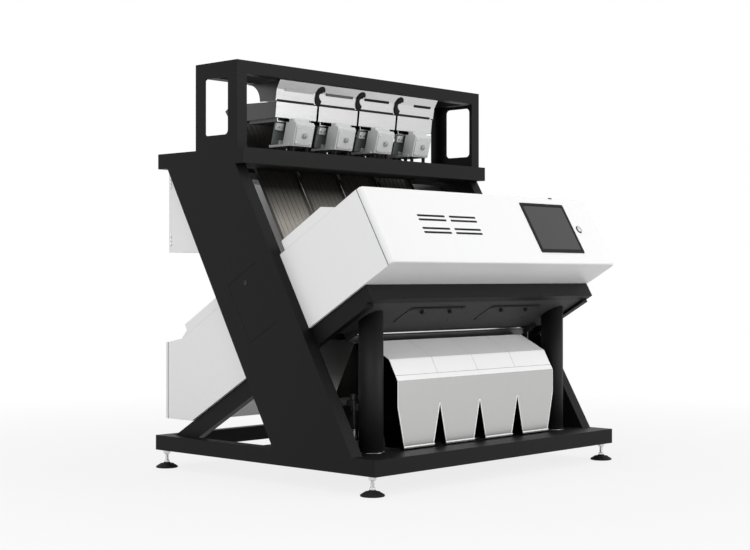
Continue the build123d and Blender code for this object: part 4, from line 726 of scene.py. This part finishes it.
HANDLE_X, HANDLE_LEVEL = 0.055, 1.24
rose = turned([(0, 0.0001), (0.0105, 0.0001), (0.011, 0.0006), (0.0105, 0.0022), (0, 0.0022)], 32)
for side_name, side in (("left", -1), ("right", 1)):
    door = f"cabinet_door_{side_name}"
    handle = on_rear(pull_handle(), [(side * HANDLE_X, CABINET_FACE, HANDLE_LEVEL)])
    roses = on_rear(rose, [(side * HANDLE_X, CABINET_FACE, HANDLE_LEVEL + dz) for dz in (-0.055, 0.055)])
    piece(f"{door}_handle", gathered(handle, roses), door, black_plastic)
    lock = on_rear(quarter_turn, [(side * HANDLE_X, CABINET_FACE, 1.34)])
    piece(f"{door}_lock", lock, door, plated)
    rows = [(side * 0.43 + dx, CABINET_FACE, 1.10 + LOUVRE_STEP * row) for dx in (-0.09, 0.09)
            for row in range(6)]
    piece(f"{door}_louvres", on_rear(louvre(), rows), door, white_coat)

barrel = turned([(0, -0.030), (0.0045, -0.030), (0.005, -0.0294), (0.005, -0.0103), (0.0046, -0.0100),
                 (0.0046, -0.0097), (0.005, -0.0094), (0.005, 0.0094), (0.0046, 0.0097), (0.0046, 0.0100),
                 (0.005, 0.0103), (0.005, 0.0294), (0.0045, 0.030), (0, 0.030)], 28)
upright_hinges = copies(barrel, [side_point(x, 1.4028, level) for x in (-BOX_HALF_WIDTH, BOX_HALF_WIDTH)
                                 for level in (1.10, 1.38)])
level_hinges = copies(barrel, [side_point(x, 1.4258, 0.605) for x in (-0.6, 0.0, 0.6)], BACK, UP, ACROSS)
piece("rear_hinge_barrels", gathered(upright_hinges, level_hinges), "frame", plated)
flush_latch = gathered(prism(rounded_outline(0.064, 0.030, 0.008), 0.0001, 0.0024, rim=0.0006),
                       prism(rounded_outline(0.030, 0.018, 0.005), 0.0022, 0.0046, rim=0.0008))
latch_places = [head_point(x, -0.49, 0.4235) for x in (-0.5, 0.5)]
piece("rear_lid_latches", copies(flush_latch, latch_places, ACROSS, -FORWARD, UPWARD), "rear_lid",
      black_plastic, smooth=False)

# Splitter: a bright strip on its shaft, a painted highlight

strip = strap([side_point(x, 0.3680, 0.6650) for x in (-0.640, 0.600)], UP, 0.0045, 0.0007, rim=0.0002)
piece("splitter_highlight_strip", strip, "splitter", highlight_trim, smooth=False)

# Inside the head: lamp covers and lens glass; below it: the regulator's knob, plate, gauge and bowl guard

diffusers = [strap([head_point(x, forward, level) for x in (-0.81, 0.81)], side * UPWARD, 0.020,
                   TRIM_THICKNESS)
             for forward, side in ((0.0199, 1), (-0.4449, -1)) for level in (0.120, 0.240)]
piece("lamp_diffusers", gathered(*diffusers), "frame", diffuser_white, smooth=False)
lens = turned([(0, 0), (0.0225, 0), (0.0225, 0.0015), (0.0205, 0.0022), (0.0195, 0.0012), (0.0165, 0.0022),
               (0.011, 0.0032), (0.0055, 0.0038), (0, 0.0040)], 48)
front_lenses, rear_lenses = [[head_point(x, forward, 0.18) for x in (-PITCH, PITCH)]
                             for forward in (0.245, -0.67)]
lenses = gathered(copies(lens, front_lenses, ACROSS, -UPWARD, -FORWARD),
                  copies(lens, rear_lenses, ACROSS, UPWARD, FORWARD))
piece("camera_lenses", lenses, "frame", display)

REGULATOR_X, REGULATOR_BACK = -0.68, 0.31
regulator_knob = turned([(0, 0), (0.017, 0), (0.0185, 0.0015), (0.0185, 0.004), (0.0172, 0.005),
                         (0.0172, 0.024), (0.0160, 0.0265), (0.0135, 0.028), (0, 0.028)], 40)
piece("regulator_knob", copies(regulator_knob, [side_point(REGULATOR_X, REGULATOR_BACK, 0.3791)]), "frame",
      black_plastic)
back_plate = prism(rounded_outline(0.090, 0.078, 0.004), 0.0, 0.003)
back_plate = set_in(back_plate, side_point(-0.695, 0.3352, 0.318), -ACROSS, UP, BACK)
piece("regulator_back_plate", back_plate, "frame", black_plastic, smooth=False)
gauge = turned([(0, 0), (0.019, 0), (0.020, 0.001), (0.020, 0.009), (0.0186, 0.0105), (0.0172, 0.0088),
                (0.0, 0.0088)], 40)
gauge_place = side_point(-0.7051, REGULATOR_BACK, 0.335)
piece("pressure_gauge", copies(gauge, [gauge_place], BACK, -UP, -ACROSS), "frame",
      black_plastic)
bowl = [(0, 0), (0.0160, 0), (0.0190, 0.0015), (0.0204, 0.005)]
for level in (0.010, 0.018, 0.026, 0.034):
    bowl += [(0.0208, level), (0.0208, level + 0.004), (0.0203, level + 0.005), (0.0203, level + 0.007)]
bowl_guard = turned([*bowl, (0.0215, 0.046), (0.0215, 0.0525), (0, 0.0525)], 40)
piece("regulator_bowl_guard", copies(bowl_guard, [side_point(REGULATOR_X, REGULATOR_BACK, 0.2021)]), "frame",
      anodised)

# Column doors and sample hatches: lock faces, screws, black strips as painted shadow along the hatches' top
# edges, and knob grips

lock_face = turned([(0, 0.0001), (0.0110, 0.0001), (0.0116, 0.0005), (0.0112, 0.0014), (0.0092, 0.0018),
                    (0.0082, 0.0010), (0, 0.0010)], 36)
for side_name, side, along in (("left", -1, -BACK), ("right", 1, BACK)):
    middle = head_point(side * 0.875, -0.2125, 0.351)
    piece(f"access_lock_{side_name}", copies(lock_face, [middle], along, UP, side * ACROSS),
          f"access_door_{side_name}", black_plastic)
hatch_middles = (-PITCH, PITCH)
hatch_screws = [head_point(x + dx, forward, CHAMBER_UNDERSIDE) for x in hatch_middles
                for dx in (-0.178, 0.178) for forward in (0.178, 0.282)]
piece("hatch_screws", copies(screw_head(0.0045, 0.0024), hatch_screws, ACROSS, FORWARD, -UPWARD), "frame",
      black_plastic)
# Painted shadow: black strips along the top edge of each sample hatch.
hatch_shadow_lines = [strap([head_point(x + reach, 0.2975, CHAMBER_UNDERSIDE + 0.0001) for reach in (-0.187, 0.187)],
                   FORWARD, 0.013, TRIM_THICKNESS) for x in hatch_middles]
piece("hatch_top_shadow_strips", gathered(*hatch_shadow_lines), "frame", rubber, smooth=False)
grip = turned([(0, 0), (0.0084, 0), (0.0092, 0.0008), (0.0096, 0.004), (0.0096, 0.0115), (0.0088, 0.0130),
               (0.0070, 0.0136), (0, 0.0138)], 32)
grip_places = [head_point(x + dx, 0.272, CHAMBER_UNDERSIDE) for x in hatch_middles for dx in (-0.096, 0.096)]
piece("hatch_knob_grips", copies(grip, grip_places, ACROSS, FORWARD, -UPWARD), "frame",
      rubber)

# Stage, lamps and camera

WHITE = (1, 1, 1, 1)
FLOOR_REACH = 30.0
FLOOR_GREY = (0.58, 0.58, 0.58, 1)
NEAR_REACH, FAR_REACH, NEAR_GLOW, FAR_GLOW = 1.6, 4.5, 0.82, 1.0
SKY_LIGHT, SKY_SEEN = 0.55, 1.0

floor_corners = FLOOR_REACH * np.array([[[-1, -1, 0], [1, -1, 0]], [[-1, 1, 0], [1, 1, 0]]], float)
floor_points, floor_faces = grid(floor_corners)
floor_mesh = bpy.data.meshes.new("floor")
floor_mesh.from_pydata(floor_points.tolist(), [], floor_faces.tolist())
floor = bpy.data.objects.new("floor", floor_mesh)
bpy.context.scene.collection.objects.link(floor)

# The floor takes shadows as matt paper, and what the camera sees of it glows more towards the distance
floor_paper = bpy.data.materials.new("white paper floor")
floor_paper.use_nodes = True
tree = floor_paper.node_tree
tree.nodes.clear()
surface_out = new_node(tree, "ShaderNodeOutputMaterial")
matt = new_node(tree, "ShaderNodeBsdfDiffuse", Color=FLOOR_GREY)
glow = new_node(tree, "ShaderNodeEmission", Color=WHITE, Strength=1.0)
spot = new_node(tree, "ShaderNodeTexCoord")
distance = new_node(tree, "ShaderNodeVectorMath", operation="LENGTH")
link_in(tree, spot.outputs["Object"], distance.inputs[0])
fade = carried(tree, distance.outputs["Value"], NEAR_REACH, FAR_REACH, NEAR_GLOW, FAR_GLOW)
share = new_node(tree, "ShaderNodeMath", operation="MULTIPLY")
link_in(tree, seen_by(tree, "Is Camera Ray", "Is Glossy Ray"), share.inputs[0])
link_in(tree, fade, share.inputs[1])
blend = new_node(tree, "ShaderNodeMixShader")
link_in(tree, share.outputs[0], blend.inputs[0])
link_in(tree, matt.outputs[0], blend.inputs[1])
link_in(tree, glow.outputs[0], blend.inputs[2])
link_in(tree, blend.outputs[0], surface_out.inputs["Surface"])
floor_mesh.materials.append(floor_paper)

world = bpy.data.worlds.new("studio")
bpy.context.scene.world = world
world.use_nodes = True
tree = world.node_tree
tree.nodes.clear()
world_out = new_node(tree, "ShaderNodeOutputWorld")
sky = new_node(tree, "ShaderNodeBackground", Color=WHITE)
direct = seen_by(tree, "Is Camera Ray", "Is Glossy Ray", "Is Transmission Ray")
link_in(tree, carried(tree, direct, 0.0, 1.0, SKY_LIGHT, SKY_SEEN), sky.inputs["Strength"])
link_in(tree, sky.outputs[0], world_out.inputs["Surface"])


def lamp(name, place, target, size, power):
    """A square soft lamp at a place that looks at a target."""
    light = bpy.data.lights.new(name, "AREA")
    light.shape, light.size, light.energy = "SQUARE", size, power
    made = bpy.data.objects.new(name, light)
    bpy.context.scene.collection.objects.link(made)
    aim = np.array(target, float) - np.array(place, float)
    made.location = place
    yaw = math.atan2(-aim[0], aim[1])
    made.rotation_euler = (math.atan2(math.hypot(aim[0], aim[1]), -aim[2]), 0, yaw)


lamp("front lamp", (2.5, -6.4, 3.1), (0.0, -0.3, 0.8), 4.0, 205)
lamp("left lamp", (-6.0, -1.0, 3.0), (0.0, 0.0, 0.9), 3.5, 105)
lamp("top lamp", (0.0, 0.5, 6.0), (0.0, 0.0, 0.8), 4.5, 110)

# The camera stands level, as solved from the photograph's straight edges
CAMERA_X, CAMERA_BACK, CAMERA_HEIGHT = -5.301, -4.141, 0.923
LOOK_ACROSS, LOOK_BACK = 0.7302, 0.6832
camera_data = bpy.data.cameras.new("camera")
camera_data.sensor_width = 36
camera_data.lens = 69.86
camera_data.shift_y = 0.0022
camera = bpy.data.objects.new("camera", camera_data)
bpy.context.scene.collection.objects.link(camera)
camera.location = (CAMERA_X, CAMERA_BACK - MIDDLE, CAMERA_HEIGHT)
camera.rotation_euler = (math.radians(90), 0, math.atan2(-LOOK_ACROSS, LOOK_BACK))
bpy.context.scene.camera = camera
bpy.context.scene.view_settings.view_transform = "Standard"
